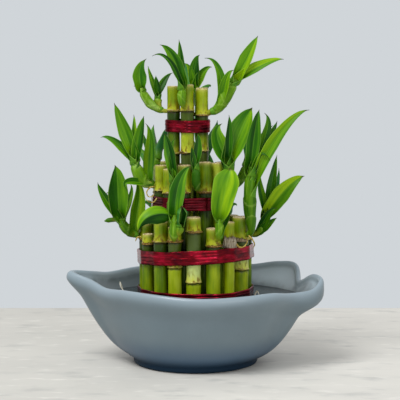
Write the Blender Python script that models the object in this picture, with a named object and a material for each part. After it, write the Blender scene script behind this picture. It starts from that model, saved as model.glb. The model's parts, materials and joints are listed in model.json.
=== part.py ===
"""Lucky bamboo: three tiers of tied dracaena canes standing in water in a leaf-shaped ceramic bowl.

Lengths below are in millimetres and angles in degrees. The origin is the middle of the bowl's foot,
+Z is up, and the bowl's pointed lip looks along -X. Azimuths are counted from +X towards +Y.
"""
import bmesh
import bpy
import math
import random
from mathutils import Vector

MM = 0.001                      # one millimetre in metres
GAP = 0.3                       # clearance between pieces that touch

# ---- bowl ----
FOOT_RADIUS = 44.0
FOOT_LIP = 0.8                  # how far the foot flares
FOOT_HEIGHT = 4.0
FLOOR_Z = 7.0                   # top of the bowl's floor
WALL = 4.6
FLARE = 0.58                    # exponent of the wall's outward curve
FLARE_LATE = 0.1                # share of the reach that comes just under the rim band
LATE_FROM = 0.77                # share of the wall's height where that last part starts
NECK_DEPTH = 0.45               # how far the wall draws in above the foot
NECK_SPAN = 2.5                 # height over which it does
RIM_BAND = 6.5                  # depth of the upright band under the rim
RIM_CROWN = 3.2                 # height of the rounded crest above the band
CREST = [(1.2, 0.5), (2.7, 0.0), (4.1, 0.9)]    # the crest's section: in from the reach, down from the top
BOWL_SIDES = 60
WALL_OUT = [0.04, 0.11, 0.24, 0.42, 0.62, 0.78, 0.9, 1.0]   # heights of the outside's rings
WALL_IN = [0.0, 0.18, 0.38, 0.58, 0.76, 0.9]                # and of the inside's
# a lobe of the rim is rolled over outwards and down: its azimuth, half width, and how much more band
# and late flare it has; inside, it starts higher up the wall
LOBE_AZIMUTH = 352.0
LOBE_SPREAD = 13.0
LOBE_BAND = 7.5
LOBE_LATE = 0.14
LOBE_SILL = 6.0
SILL_FROM, SILL_TO = 20.0, 45.0
# the rim seen from above: azimuth, reach from the middle, height of the crest
RIM = [(0, 86.5, 63.5), (12, 79.5, 56.8), (24, 83.0, 66.5), (36, 79.0, 66.5), (54, 72.5, 62.5),
       (90, 64.5, 61.0), (132, 67.0, 62.0), (156, 72.5, 61.0), (171, 81.0, 64.0), (180, 92.4, 65.8),
       (189, 78.5, 61.3), (200, 70.0, 57.3), (218, 65.0, 58.0), (240, 64.0, 57.8), (272, 66.0, 56.2),
       (300, 69.8, 57.0), (318, 73.0, 57.4), (333, 76.4, 55.2), (343, 88.0, 56.5), (351, 92.0, 62.3)]

# ---- water ----
WATER_Z = 48.0
BUNDLE_REACH = 41.0             # outer reach of the bottom tier's canes
WATER_HOLE = BUNDLE_REACH + 2 * GAP
WATER_EDGE = 3 * GAP            # clearance to the sloping wall

# ---- canes ----
CANE_SIDES = 8
NODE_FLARE = 0.5                # how far a node ring stands out
NODE_HALF = 1.1
CUT_BEVEL = 0.5
CANE_FOOT_Z = FLOOR_Z + GAP

TOP_AXIS = (-5.4, 0.0)
TOP_REACH = 16.4
MIDDLE_AXIS = (-3.0, 0.0)
MIDDLE_REACH = 28.1

# azimuth, diameter, height of the top cut, heights of the node rings
OUTER_FRONT = [(203, 8.4, 94, [87]), (227, 10.1, 104, [90]), (246.4, 9.8, 101, [91, 73]),
               (268, 10.5, 108, [98, 63]), (290.5, 10.5, 100, [88]), (310, 8.0, 104, [90]),
               (336, 11.8, 106, [90, 69])]
OUTER_BACK_FROM, OUTER_BACK_TO, OUTER_BACK_COUNT = 2, 178, 10
MIDDLE = [(258, 9.6, 143, [124]), (295, 9.6, 145, [124]), (323, 9.2, 144, [125]),
          (352, 9.6, 141, [123]), (22, 9.4, 143, [126]), (52, 9.6, 139, [122]),
          (82, 9.2, 144, [125]), (112, 9.6, 141, [124]), (142, 9.4, 143, [126]),
          (172, 9.6, 140, [122]), (200, 9.4, 142, [124]), (228, 9.4, 140, [123])]
TOP = [(205, 9.4, 197.5, [180, 150]), (268, 9.4, 198.5, [180.5, 151]), (332, 9.4, 195.5, [177, 152]),
       (28, 9.2, 196, [178]), (90, 9.4, 193, [176]), (152, 9.2, 197, [179])]
TOP_MIDDLE = (9.0, 194.0, [177])

# ---- ties: reach of the canes inside, axis, height of the middle, band height, tilts about X and Y ----
TIE_THICK = 1.5
TIE_SIDES = 24
TIE_RIPPLES = 6                 # from one edge of the band to the other, out and in by turns
RIPPLE_SHARE = 0.55             # how much of the thickness is left in a dip
RIPPLE_SPAN = 0.92              # share of the band's height that the ripples take
TIES = {"tie_base": (BUNDLE_REACH, (0, 0), 52.0, 6.0, 0.0, 0.0),
        "tie_bottom": (BUNDLE_REACH, (0, 0), 78.4, 9.4, -2.6, -2.9),
        "tie_middle": (MIDDLE_REACH, MIDDLE_AXIS, 115.2, 8.6, -1.0, 0.0),
        "tie_top": (TOP_REACH, TOP_AXIS, 169.3, 8.4, 0.0, 0.6)}

# ---- leaves ----
BLADE_THICK = 0.7
BLADE_STATIONS = [0.0, 0.16, 0.36, 0.58, 0.82, 1.0]
BLADE_FOOT = 0.45               # breadth of a blade's foot, against its full breadth
BLADE_FOLD = 0.16               # depth of the fold along the midrib, against the width
BLADE_TIP = 0.9
STEM_SIDES = 6
STEM_GIRTH = 1.12               # the sheaths round a stem, against its own radius
NODE_REACH = 5.0                # a stem rooted this close to a node ring starts clear of the ring
UNION_MERGE = 0.003             # points closer than this are one after a union

# Each shoot: the cane it grows from and the height of its root, its stems (the points each runs
# through and the radius at both ends; the first one starts at the root), and its leaves (stem, share
# of the stem's length, a point halfway along the blade, tip, width, azimuth its face looks towards).
SHOOTS = {
    "shoot_top_left": {
        "root": ("cane_top_01", 179.5),
        "stems": [([(-26, -6, 181), (-31.5, -6.5, 185), (-36, -7, 191), (-38, -7, 197)], 3.0, 2.3),
                  ([(-23.5, -4.5, 180.5), (-26.5, -2.5, 186), (-26.2, -1.5, 192)], 2.4, 2.2)],
        "leaves": [(0, 1.0, (-39.4, -7, 204), (-34.3, -6, 216.4), 9.6, 270),
                   (1, 0.8, (-30.3, -1, 201), (-33.5, 0, 211.3), 3.6, 250),
                   (1, 0.95, (-27.3, -4, 198), (-27.8, -4.5, 204.5), 4.6, 280),
                   (1, 0.9, (-22.5, 3.5, 199.5), (-16.3, 5, 206.5), 4.8, 280),
                   (0, 0.5, (-36, 4, 191), (-44, 10, 197), 5.0, 200)]},
    "shoot_top_front": {
        "root": ("cane_top_02", 181),
        "stems": [([(-9, -19.3, 185), (-9.3, -19.3, 193), (-9.4, -19, 201)], 3.0, 2.6)],
        "leaves": [(0, 0.9, (-14.2, -21, 213.5), (-24.5, -22, 226), 8.4, 280),
                   (0, 0.8, (-16.8, -24, 211.5), (-29.7, -25, 218.2), 3.8, 280),
                   (0, 0.85, (-10.4, -16, 216), (-11.4, -15, 229.6), 4.6, 270)]},
    "shoot_top_back": {
        "root": ("cane_top_05", 178.5),
        "stems": [([(-3, 19.5, 186), (-1.2, 18.5, 199)], 3.0, 2.5)],
        "leaves": [(0, 0.9, (-4.4, 18, 207), (-8.4, 17, 213), 4.6, 270),
                   (0, 0.95, (0.3, 18, 211.3), (3, 17, 219.2), 7.2, 270),
                   (0, 0.85, (5.4, 18, 205), (11.9, 17, 210.4), 6.2, 280),
                   (0, 0.7, (-6, 31, 203), (-10, 44, 214), 7.4, 90),
                   (0, 0.38, (5, 30, 192), (11, 43, 196), 6.4, 80)]},
    "shoot_top_right": {
        "root": ("cane_top_03", 178.5),
        "stems": [([(14, -7.4, 180.5), (20, -8, 188), (25, -8.4, 197), (30, -8.6, 204)],
                   3.1, 2.7)],
        "leaves": [(0, 0.97, (36.5, -9.5, 217.7), (43.5, -9, 232.3), 9.4, 262),
                   (0, 0.93, (43.6, -10, 210.4), (61.6, -8, 216), 6.8, 280),
                   (0, 0.45, (14.8, -5, 205), (6.5, -5, 216.8), 5.8, 270),
                   (0, 0.6, (22.4, -12.5, 200.5), (26.8, -13, 208.5), 6.4, 250),
                   (0, 0.5, (26, 3, 197), (32, 12, 208), 6.0, 60)]},
    "shoot_middle_left": {
        "root": ("cane_middle_11", 127.5),
        "stems": [([(-36, -11.5, 130), (-41, -12, 139), (-43.3, -12, 149)], 3.3, 2.6)],
        "leaves": [(0, 0.95, (-49.4, -13, 166), (-56.7, -14, 185.7), 9.2, 270),
                   (0, 0.85, (-55, -12, 156), (-66.5, -10, 161.4), 5.4, 280),
                   (0, 0.95, (-43.2, -9, 165), (-43.4, -7, 177.2), 4.0, 270),
                   (0, 0.9, (-39, -14, 163.5), (-36, -15, 176.7), 7.2, 262),
                   (0, 0.2, (-33.6, -6, 153), (-35.2, -4, 171), 7.6, 285),
                   (0, 0.4, (-44, -18, 131), (-47, -21, 124.5), 5.0, 300)]},
    "shoot_middle_slim": {
        "root": ("cane_middle_12", 107.6),
        "stems": [([(-18.4, -28.6, 109.2), (-16.4, -29.6, 118), (-15.2, -29.4, 130),
                    (-17.2, -28.6, 149)], 2.6, 2.2)],
        "leaves": [(0, 0.93, (-19.3, -28.5, 157), (-21.5, -28, 165), 7.0, 262),
                   (0, 0.85, (-15, -27, 154), (-13.5, -25.6, 161.5), 4.0, 285)]},
    "shoot_middle_front": {
        "root": ("cane_middle_02", 125.5),
        "stems": [([(1, -27.6, 128), (0.4, -28.6, 137), (0.8, -28, 150)], 2.7, 2.3)],
        "leaves": [(0, 0.9, (1.6, -27, 157), (1.2, -26, 165), 5.4, 262),
                   (0, 0.7, (-1.6, -29, 149), (-2.4, -29.5, 156.5), 4.0, 280)]},
    "shoot_middle_right": {
        "root": ("cane_middle_03", 125.5),
        "stems": [([(22.6, -19, 129), (23.2, -19, 138), (23, -18.6, 147)], 3.0, 2.5)],
        "leaves": [(0, 0.95, (23.6, -20, 162), (23.2, -20, 177.6), 5.2, 255),
                   (0, 0.85, (17.2, -15.5, 158), (18.6, -12, 171.2), 10.4, 280),
                   (0, 0.9, (31, -16, 164.5), (39.6, -15, 182.5), 16.0, 266)]},
    "shoot_middle_far_right": {
        "root": ("cane_middle_04", 125),
        "stems": [([(29, -4, 127.6), (35, -3, 138), (37.5, -1, 148)], 2.8, 2.3)],
        "leaves": [(0, 0.9, (46, 5, 158), (55, 8, 169), 6.0, 270),
                   (0, 0.95, (38, 6, 162), (40, 12, 176), 7.0, 80),
                   (0, 0.68, (41, 15, 148), (46, 27, 156), 7.0, 70)]},
    "shoot_bottom_left": {
        "root": ("cane_bottom_17", 90),
        "stems": [([(-46, -3, 93), (-51, -5, 99), (-54.4, -6, 106)], 3.2, 2.6),
                  ([(-51, -4, 101), (-58, -3, 102.5), (-64.7, -2, 101.5)], 1.3, 1.1)],
        "leaves": [(0, 0.92, (-54.8, -9, 124), (-56.8, -10, 142), 14.4, 270),
                   (0, 0.85, (-63.2, -5, 117.5), (-69.3, -4, 129.2), 6.0, 275),
                   (0, 0.85, (-47.8, 0, 116.5), (-46.6, 2, 128), 4.4, 270),
                   (0, 0.3, (-41.6, 1, 113), (-43.6, 3, 131.4), 10.0, 275),
                   (0, 0.5, (-58, 12, 112), (-66, 24, 118), 8.0, 150)]},
    "shoot_bottom_bent": {
        "root": ("cane_bottom_03", 91.4),
        "stems": [([(-14.6, -41.8, 95), (-14.3, -42, 103), (-13.8, -41, 111)], 3.0, 2.5),
                  ([(-14.4, -41, 94), (-11.2, -43.2, 99.5), (-10.2, -43.4, 107)], 2.3, 2.2)],
        "leaves": [(0, 1.0, (-26, -47, 111.5), (-39, -45.5, 97.5), 13.0, 285),
                   (0, 0.9, (-12.6, -38, 125), (-2.4, -34.5, 143.5), 10.8, 270),
                   (1, 0.95, (-10, -44.4, 109), (-9.4, -46.8, 117), 6.2, 280)]},
    "shoot_bottom_front": {
        "root": ("cane_bottom_05", 91),
        "stems": [([(16.2, -41.8, 95), (16.3, -41.8, 103), (16.6, -41.4, 109)], 2.5, 2.4)],
        "leaves": [(0, 0.93, (19.8, -42, 124.5), (24.0, -38, 142), 18.0, 268),
                   (0, 0.5, (21.4, -39.5, 108), (23.8, -38, 117), 4.8, 250)]},
    "shoot_bottom_tall": {
        "root": ("cane_bottom_07", 92.6),
        "stems": [([(39, -21.6, 97), (38, -21.8, 111), (38.2, -20.6, 130),
                    (39, -19, 148)], 3.5, 3.6)],
        "leaves": [(0, 0.95, (41.4, -21, 165), (44.3, -20, 181.3), 9.4, 268),
                   (0, 0.93, (47.4, -14, 165), (48.3, -12, 178.6), 5.6, 270),
                   (0, 0.9, (51.6, -10, 160.5), (57.5, -6, 172.8), 5.0, 280),
                   (0, 0.88, (60, -21, 163.5), (79, -19, 181), 8.4, 280),
                   (0, 0.85, (46.6, -24, 143.5), (51.8, -26, 146), 4.2, 280)]},
    "shoot_bottom_right": {
        "root": ("cane_bottom_08", 91),
        "stems": [([(45, -1, 93.5), (48.5, -2, 100), (50, -3, 107)], 3.0, 2.4)],
        "leaves": [(0, 0.9, (60.6, -8, 121.5), (76.8, -7, 134), 12.4, 285),
                   (0, 0.95, (46.9, -4, 124), (46.2, -3, 136.5), 4.6, 270),
                   (0, 0.97, (54.6, 1, 129), (58, 3, 148.3), 6.0, 262),
                   (0, 0.8, (57, 8, 124), (60, 14, 138), 4.6, 60),
                   (0, 0.45, (50.5, -9, 104.6), (57.4, -13, 112), 6.4, 290),
                   (0, 0.2, (50.6, -6, 99), (57.6, -9, 104.6), 5.6, 290)]},
    "shoot_bottom_back_right": {
        "root": ("cane_bottom_11", 90),
        "stems": [([(18, 43.4, 94), (18, 44, 103), (16, 44, 111)], 3.0, 2.4)],
        "leaves": [(0, 0.95, (13, 48, 128), (10, 50, 147), 9.0, 90),
                   (0, 0.85, (22, 51, 121), (25, 60, 135), 8.0, 70),
                   (0, 0.6, (25, 52, 104), (31, 60, 106), 6.6, 60),
                   (0, 0.5, (8, 52, 106), (-1, 60, 110), 6.0, 110),
                   (0, 0.72, (14, 57, 118), (11, 69, 126), 7.0, 90)]},
    "shoot_bottom_back_left": {
        "root": ("cane_bottom_14", 90),
        "stems": [([(-20, 43, 94), (-21, 43.6, 104), (-19, 43.6, 112)], 3.0, 2.4)],
        "leaves": [(0, 0.95, (-21, 48, 127), (-18, 52, 144), 10.0, 90),
                   (0, 0.85, (-28, 50, 120), (-36, 58, 131), 7.4, 110),
                   (0, 0.6, (-31, 46, 106), (-41, 50, 108), 6.2, 120),
                   (0, 0.5, (-14, 54, 109), (-12, 63, 117), 6.4, 80),
                   (0, 0.72, (-25, 56, 117), (-28, 66, 127), 7.4, 95)]},
    "shoot_middle_back_right": {
        "root": ("cane_middle_07", 126.5),
        "stems": [([(4.6, 31.6, 131), (5, 32, 141), (4, 31, 150)], 3.0, 2.4)],
        "leaves": [(0, 0.95, (3, 32, 167), (-1, 33, 184), 8.8, 90),
                   (0, 0.85, (11, 37, 159), (16, 44, 171), 7.2, 60),
                   (0, 0.6, (4, 42, 148), (1, 53, 153), 7.0, 90),
                   (0, 0.75, (-5, 37, 156), (-12, 43, 166), 6.6, 110)]},
    "shoot_middle_back_left": {
        "root": ("cane_middle_09", 127),
        "stems": [([(-28, 20.6, 131), (-28.6, 22, 141), (-26, 23, 150)], 3.0, 2.4)],
        "leaves": [(0, 0.95, (-19, 30, 162), (-12, 33, 176), 8.6, 110),
                   (0, 0.85, (-30, 32, 157), (-31, 41, 168), 7.0, 120),
                   (0, 0.6, (-37, 29, 145), (-46, 34, 150), 6.4, 130),
                   (0, 0.75, (-36, 21, 157), (-42, 22, 168), 6.8, 160)]},
}


# ---------------------------------------------------------------- helpers

def polar(radius, azimuth, z=0.0, axis=(0.0, 0.0)):
    turn = math.radians(azimuth)
    return Vector((axis[0] + radius * math.cos(turn), axis[1] + radius * math.sin(turn), z))


def material(name, colour, roughness, metallic=0.0, transmission=0.0):
    mat = bpy.data.materials.new(name)
    mat.use_nodes = True
    shader = mat.node_tree.nodes["Principled BSDF"]
    shader.inputs["Base Color"].default_value = (*colour, 1.0)
    shader.inputs["Roughness"].default_value = roughness
    shader.inputs["Metallic"].default_value = metallic
    shader.inputs["Transmission Weight"].default_value = transmission
    mat.diffuse_color = (*colour, 1.0)
    return mat


def new_object(name, points, faces, mat, location=(0.0, 0.0, 0.0)):
    """Make one object from points in millimetres, with its faces pointing out."""
    mesh = bpy.data.meshes.new(name)
    mesh.from_pydata([Vector(p) * MM for p in points], [], faces)
    bm = bmesh.new()
    bm.from_mesh(mesh)
    bmesh.ops.triangulate(bm, faces=[f for f in bm.faces if len(f.verts) > 4])
    bmesh.ops.recalc_face_normals(bm, faces=bm.faces)
    bm.to_mesh(mesh)
    bm.free()
    mesh.shade_smooth()
    mesh.set_sharp_from_angle(angle=math.radians(45))
    mesh.materials.append(mat)
    obj = bpy.data.objects.new(name, mesh)
    obj.location = Vector(location) * MM
    bpy.context.scene.collection.objects.link(obj)
    return obj


def skin(rings, closed_loop=False):
    """Faces over equal rings of points: a tube with capped ends, or a closed loop of rings."""
    count = len(rings[0])
    points = [p for ring in rings for p in ring]
    faces = []
    last = len(rings) if closed_loop else len(rings) - 1
    for i in range(last):
        here, there = i * count, (i + 1) % len(rings) * count
        for k in range(count):
            nxt = (k + 1) % count
            faces.append((here + k, here + nxt, there + nxt, there + k))
    if not closed_loop:
        faces.append(tuple(range(count)))
        faces.append(tuple(range((len(rings) - 1) * count, len(rings) * count)))
    return points, faces


def along_curve(points, share):
    """A point on the smooth curve through the given points, at a share of its length."""
    pts = [Vector(p) for p in points]
    place = share * (len(pts) - 1)
    i = min(int(place), len(pts) - 2)
    t = place - i
    before = pts[i - 1] if i > 0 else 2 * pts[0] - pts[1]
    after = pts[i + 2] if i + 2 < len(pts) else 2 * pts[-1] - pts[-2]
    a, b = pts[i], pts[i + 1]
    return 0.5 * (2 * a + (b - before) * t + (2 * before - 5 * a + 4 * b - after) * t ** 2
                  + (3 * a - before - 3 * b + after) * t ** 3)


# ---------------------------------------------------------------- bowl and water

def rim_at(azimuth):
    """Reach and height of the rim's crest at an azimuth, on a smooth closed curve through RIM."""
    count = len(RIM)
    turn = azimuth % 360
    i = max(k for k in range(count) if RIM[k][0] <= turn)
    before, a, b, after = (RIM[(i + k) % count] for k in (-1, 0, 1, 2))
    span = (b[0] - a[0]) % 360
    t = (turn - a[0]) / span
    values = []
    for k in (1, 2):
        slope_a = (b[k] - before[k]) / ((b[0] - before[0]) % 360) * span
        slope_b = (after[k] - a[k]) / ((after[0] - a[0]) % 360) * span
        values.append((2 * t ** 3 - 3 * t ** 2 + 1) * a[k] + (t ** 3 - 2 * t ** 2 + t) * slope_a
                      + (3 * t ** 2 - 2 * t ** 3) * b[k] + (t ** 3 - t ** 2) * slope_b)
    return values


def clamp(value):
    return min(max(value, 0.0), 1.0)


def lobe_at(azimuth):
    """How much of the rolled-over lobe there is at an azimuth, from 0 to 1."""
    off = (azimuth - LOBE_AZIMUTH + 180) % 360 - 180
    return math.exp(-(off / LOBE_SPREAD) ** 2)


def band_foot(azimuth):
    """Height where the upright band under the rim starts."""
    return rim_at(azimuth)[1] - RIM_BAND - LOBE_BAND * lobe_at(azimuth)


def outer_wall(azimuth, z):
    """Radius of the bowl's outside at a height above its foot."""
    share = clamp((z - FOOT_HEIGHT) / (band_foot(azimuth) - FOOT_HEIGHT))
    late = FLARE_LATE + LOBE_LATE * lobe_at(azimuth)
    t = clamp((share - LATE_FROM) / (1 - LATE_FROM))
    neck = 1 - NECK_DEPTH * math.exp(-max(z - FOOT_HEIGHT, 0.0) / NECK_SPAN)
    curve = (1 - late) * share ** FLARE * neck + late * t * t * (3 - 2 * t)
    return FOOT_RADIUS + (rim_at(azimuth)[0] - FOOT_RADIUS) * curve


def inner_wall(azimuth, z):
    sill = LOBE_SILL * lobe_at(azimuth) * clamp((z - SILL_FROM) / (SILL_TO - SILL_FROM))
    return outer_wall(azimuth, z - sill) - WALL


def inner_section(azimuth):
    """The bowl's inside as radius and height, from its floor up to the crest."""
    reach, top = rim_at(azimuth)
    section = []
    for share in WALL_IN:
        z = FLOOR_Z + (top - RIM_CROWN - FLOOR_Z) * share
        section.append((inner_wall(azimuth, z), z))
    inwards, down = CREST[-1]
    return section + [(reach - inwards, top - down)]


def bowl_section(azimuth):
    """The bowl's section from the middle of the foot, up the outside, over the rim, to its floor."""
    reach, top = rim_at(azimuth)
    section = [(FOOT_RADIUS - FOOT_LIP, 0.0), (FOOT_RADIUS + FOOT_LIP, FOOT_HEIGHT / 3),
               (FOOT_RADIUS, FOOT_HEIGHT)]
    for share in WALL_OUT:
        z = FOOT_HEIGHT + (band_foot(azimuth) - FOOT_HEIGHT) * share
        section.append((outer_wall(azimuth, z), z))
    section.append((reach, top - RIM_CROWN))
    section += [(reach - inwards, top - down) for inwards, down in CREST[:-1]]
    return section + inner_section(azimuth)[::-1]


def build_bowl():
    glaze = material("blue_grey_glaze", (0.20, 0.26, 0.30), 0.3)
    sections = [[polar(r, 360 * i / BOWL_SIDES, z) for r, z in bowl_section(360 * i / BOWL_SIDES)]
                for i in range(BOWL_SIDES)]
    rings = [list(ring) for ring in zip(*sections)]
    points, faces = skin(rings)
    return new_object("bowl", points, faces, glaze)


def water_section(azimuth):
    """The water's outer edge as radius and height: it follows the bowl's inside up to the surface."""
    walls = inner_section(azimuth)
    heights = [FLOOR_Z + GAP] + [z for _, z in walls[1:-3]]
    heights += [min(walls[-3][1], WATER_Z - 1), min(walls[-2][1], WATER_Z - 0.5), WATER_Z]
    section = []
    for z in heights:
        below = max(k for k in range(len(walls) - 1) if walls[k][1] <= z)
        (r0, z0), (r1, z1) = walls[below:below + 2]
        section.append((r0 + (r1 - r0) * (z - z0) / (z1 - z0) - WATER_EDGE, z))
    return section


def build_water():
    clear = material("water", (0.10, 0.13, 0.12), 0.05, transmission=0.6)
    turns = [360 * i / BOWL_SIDES for i in range(BOWL_SIDES)]
    sections = [[polar(r, a, z) for r, z in water_section(a)] for a in turns]
    rings = [list(ring) for ring in zip(*sections)]
    for z in (WATER_Z, FLOOR_Z + GAP):
        rings.append([polar(WATER_HOLE, a, z) for a in turns])
    points, faces = skin(rings, closed_loop=True)
    return new_object("water", points, faces, clear)


# ---------------------------------------------------------------- canes and ties

def cane_section(radius, top, nodes):
    """Radius against height, from the foot up, with a ring at each node and a bevelled cut end."""
    section = [(radius, CANE_FOOT_Z)]
    for node in sorted(nodes):
        section += [(radius, node - NODE_HALF), (radius + NODE_FLARE, node), (radius, node + NODE_HALF)]
    section += [(radius, top - CUT_BEVEL), (radius - CUT_BEVEL, top)]
    return section


def build_cane(name, centre, diameter, top, nodes, mat):
    turn = random.uniform(0, 360 / CANE_SIDES)
    rings = [[polar(r, turn + 360 * k / CANE_SIDES, z) for k in range(CANE_SIDES)]
             for r, z in cane_section(diameter / 2, top, nodes)]
    points, faces = skin(rings)
    return new_object(name, points, faces, mat, location=(centre.x, centre.y, 0))


def cane_plan():
    """Every cane by name: its centre, diameter, height of the cut, and heights of its nodes."""
    outer = list(OUTER_FRONT)
    step = (OUTER_BACK_TO - OUTER_BACK_FROM) / (OUTER_BACK_COUNT - 1)
    for i in range(OUTER_BACK_COUNT):
        outer.append((OUTER_BACK_FROM + i * step, random.uniform(9.0, 9.7), random.uniform(98, 108),
                      [random.uniform(86, 90)]))
    tiers = {"bottom": (BUNDLE_REACH, (0, 0), outer), "middle": (MIDDLE_REACH, MIDDLE_AXIS, MIDDLE),
             "top": (TOP_REACH, TOP_AXIS, TOP)}
    plan = {}
    for tier, (reach, axis, canes) in tiers.items():
        for i, (azimuth, diameter, top, nodes) in enumerate(canes):
            centre = polar(reach - NODE_FLARE - diameter / 2, azimuth, axis=axis)
            plan[f"cane_{tier}_{i + 1:02d}"] = (centre, diameter, top, nodes)
    plan["cane_top_07"] = (Vector((*TOP_AXIS, 0)), *TOP_MIDDLE)
    return plan


def build_canes(plan):
    green = material("cane_green", (0.33, 0.42, 0.04), 0.35)
    for name, (centre, diameter, top, nodes) in plan.items():
        build_cane(name, centre, diameter, top, nodes, green)


def build_ties():
    """Each tie is three turns of ribbon pulled tight: a ring whose outside is rippled."""
    ribbon = material("crimson_ribbon", (0.42, 0.008, 0.03), 0.22)
    for name, (reach, axis, middle, height, tilt_x, tilt_y) in TIES.items():
        inside = reach + GAP
        section = [(inside, -height / 2), (inside, height / 2)]
        for k in range(TIE_RIPPLES, -1, -1):
            ripple = TIE_THICK if k % 2 else TIE_THICK * RIPPLE_SHARE
            section.append((inside + ripple, height * (k / TIE_RIPPLES - 0.5) * RIPPLE_SPAN))
        rings = [[polar(r, 360 * i / TIE_SIDES, z) for r, z in section] for i in range(TIE_SIDES)]
        points, faces = skin(rings, closed_loop=True)
        tie = new_object(name, points, faces, ribbon, location=(axis[0], axis[1], middle))
        tie.rotation_euler = (math.radians(tilt_x), math.radians(tilt_y), 0)


# ---------------------------------------------------------------- leafy shoots

def stem_mesh(points, thick, thin):
    stations = 2 * len(points) - 1
    rings = []
    for i in range(stations):
        share = i / (stations - 1)
        middle = along_curve(points, share)
        ahead = (along_curve(points, min(share + 0.02, 1)) - along_curve(points, max(share - 0.02, 0)))
        ahead.normalize()
        if i == 0:
            ahead.z = 0
            ahead.normalize()
        side = ahead.cross(Vector((0.31, 0.17, 0.94)))
        side.normalize()
        up = side.cross(ahead)
        radius = STEM_GIRTH * (thick + (thin - thick) * share)
        rings.append([middle + radius * (math.cos(a) * side + math.sin(a) * up)
                      for a in (2 * math.pi * k / STEM_SIDES for k in range(STEM_SIDES))])
    return skin(rings)


def blade_outline(share):
    """Half breadth of a blade along its length: it holds the stem, swells past the middle, and tapers."""
    foot = BLADE_FOOT * (1 - share) ** 2
    return foot + (1 - foot) * max(math.sin(math.pi * share ** 0.86), 0.0) ** 0.9


def blade_mesh(base, halfway, tip, width, facing):
    base, halfway, tip = Vector(base), Vector(halfway), Vector(tip)
    pull = 2 * halfway - (base + tip) / 2
    face = polar(1.0, facing) + Vector((0, 0, 0.35))
    rings = []
    for share in BLADE_STATIONS:
        spine = (1 - share) ** 2 * base + 2 * share * (1 - share) * pull + share ** 2 * tip
        ahead = (2 * (1 - share) * (pull - base) + 2 * share * (tip - pull)).normalized()
        normal = (face - ahead * face.dot(ahead)).normalized()
        side = ahead.cross(normal)
        half = max(width / 2 * blade_outline(share), BLADE_TIP / 2)
        fold = BLADE_FOLD * 2 * half
        thick = BLADE_THICK / 2
        rings.append([spine - side * half + normal * (fold + thick), spine + normal * thick,
                      spine + side * half + normal * (fold + thick),
                      spine + side * half + normal * (fold - thick), spine - normal * thick,
                      spine - side * half + normal * (fold - thick)])
    return skin(rings)


def root_point(cane, height, towards):
    """Where a shoot's stem starts: just clear of its cane, on the side that the stem leaves."""
    centre, diameter, _, nodes = cane
    flare = NODE_FLARE if min(abs(height - node) for node in nodes) < NODE_REACH else 0.0
    outward = Vector((towards[0] - centre.x, towards[1] - centre.y, 0)).normalized()
    return centre + outward * (diameter / 2 + flare + GAP) + Vector((0, 0, height))


def build_shoot(name, cane, height, stems, leaves, mat):
    """Model the stems and blades, then join them into one body."""
    first = [root_point(cane, height, stems[0][0][0])] + stems[0][0]
    stems = [(first, *stems[0][1:])] + stems[1:]
    pieces = [new_object(f"{name}_stem", *stem_mesh(*stem), mat) for stem in stems]
    for stem, share, halfway, tip, width, facing in leaves:
        base = along_curve(stems[stem][0], share)
        pieces.append(new_object(f"{name}_blade", *blade_mesh(base, halfway, tip, width, facing), mat))
    group = bpy.data.collections.new(f"{name}_pieces")
    bpy.context.scene.collection.children.link(group)
    for piece in pieces[1:]:
        bpy.context.scene.collection.objects.unlink(piece)
        group.objects.link(piece)
    union = pieces[0].modifiers.new("join", "BOOLEAN")
    union.operation = "UNION"
    union.operand_type = "COLLECTION"
    union.solver = "MANIFOLD"
    union.collection = group
    evaluated = pieces[0].evaluated_get(bpy.context.evaluated_depsgraph_get())
    mesh = bpy.data.meshes.new_from_object(evaluated)
    for piece in pieces:
        bpy.data.objects.remove(piece)
    bpy.data.collections.remove(group)
    bm = bmesh.new()
    bm.from_mesh(mesh)
    bmesh.ops.remove_doubles(bm, verts=bm.verts, dist=UNION_MERGE * MM)
    bmesh.ops.triangulate(bm, faces=bm.faces)
    bm.to_mesh(mesh)
    bm.free()
    mesh.name = name
    shoot = bpy.data.objects.new(name, mesh)
    bpy.context.scene.collection.objects.link(shoot)
    return shoot


def main():
    for obj in list(bpy.data.objects):
        bpy.data.objects.remove(obj)
    random.seed(7)
    build_bowl()
    build_water()
    canes = cane_plan()
    build_canes(canes)
    build_ties()
    leaf_green = material("leaf_green", (0.10, 0.30, 0.015), 0.4)
    for name, shoot in SHOOTS.items():
        cane, height = shoot["root"]
        build_shoot(name, canes[cane], height, shoot["stems"], shoot["leaves"], leaf_green)
    whole = bpy.data.objects.new("lucky_bamboo", None)
    bpy.context.scene.collection.objects.link(whole)
    for obj in bpy.context.scene.objects:
        if obj.type == "MESH":
            obj.parent = whole


main()
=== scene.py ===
# %% [markdown]
# # A lucky bamboo in a leaf-shaped bowl
# Lucky bamboo is a dracaena sold as bare canes. A grower cuts the canes to three lengths, stands them
# in three tiers, and ties each tier with shiny ribbon. Shoots of soft leaves break out of the rings on
# the canes. Here they stand in water, in a ceramic bowl whose rim is pulled out like a leaf.
#
# The plain model of all this already exists, and it is only loaded. This lesson gives every piece its
# finish. Sizes are in millimetres times `MM`, because Blender works in metres.

# %% Load the plain model
import json
import math
import random

import bmesh
import bpy
from mathutils import Matrix, Vector, noise

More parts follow.
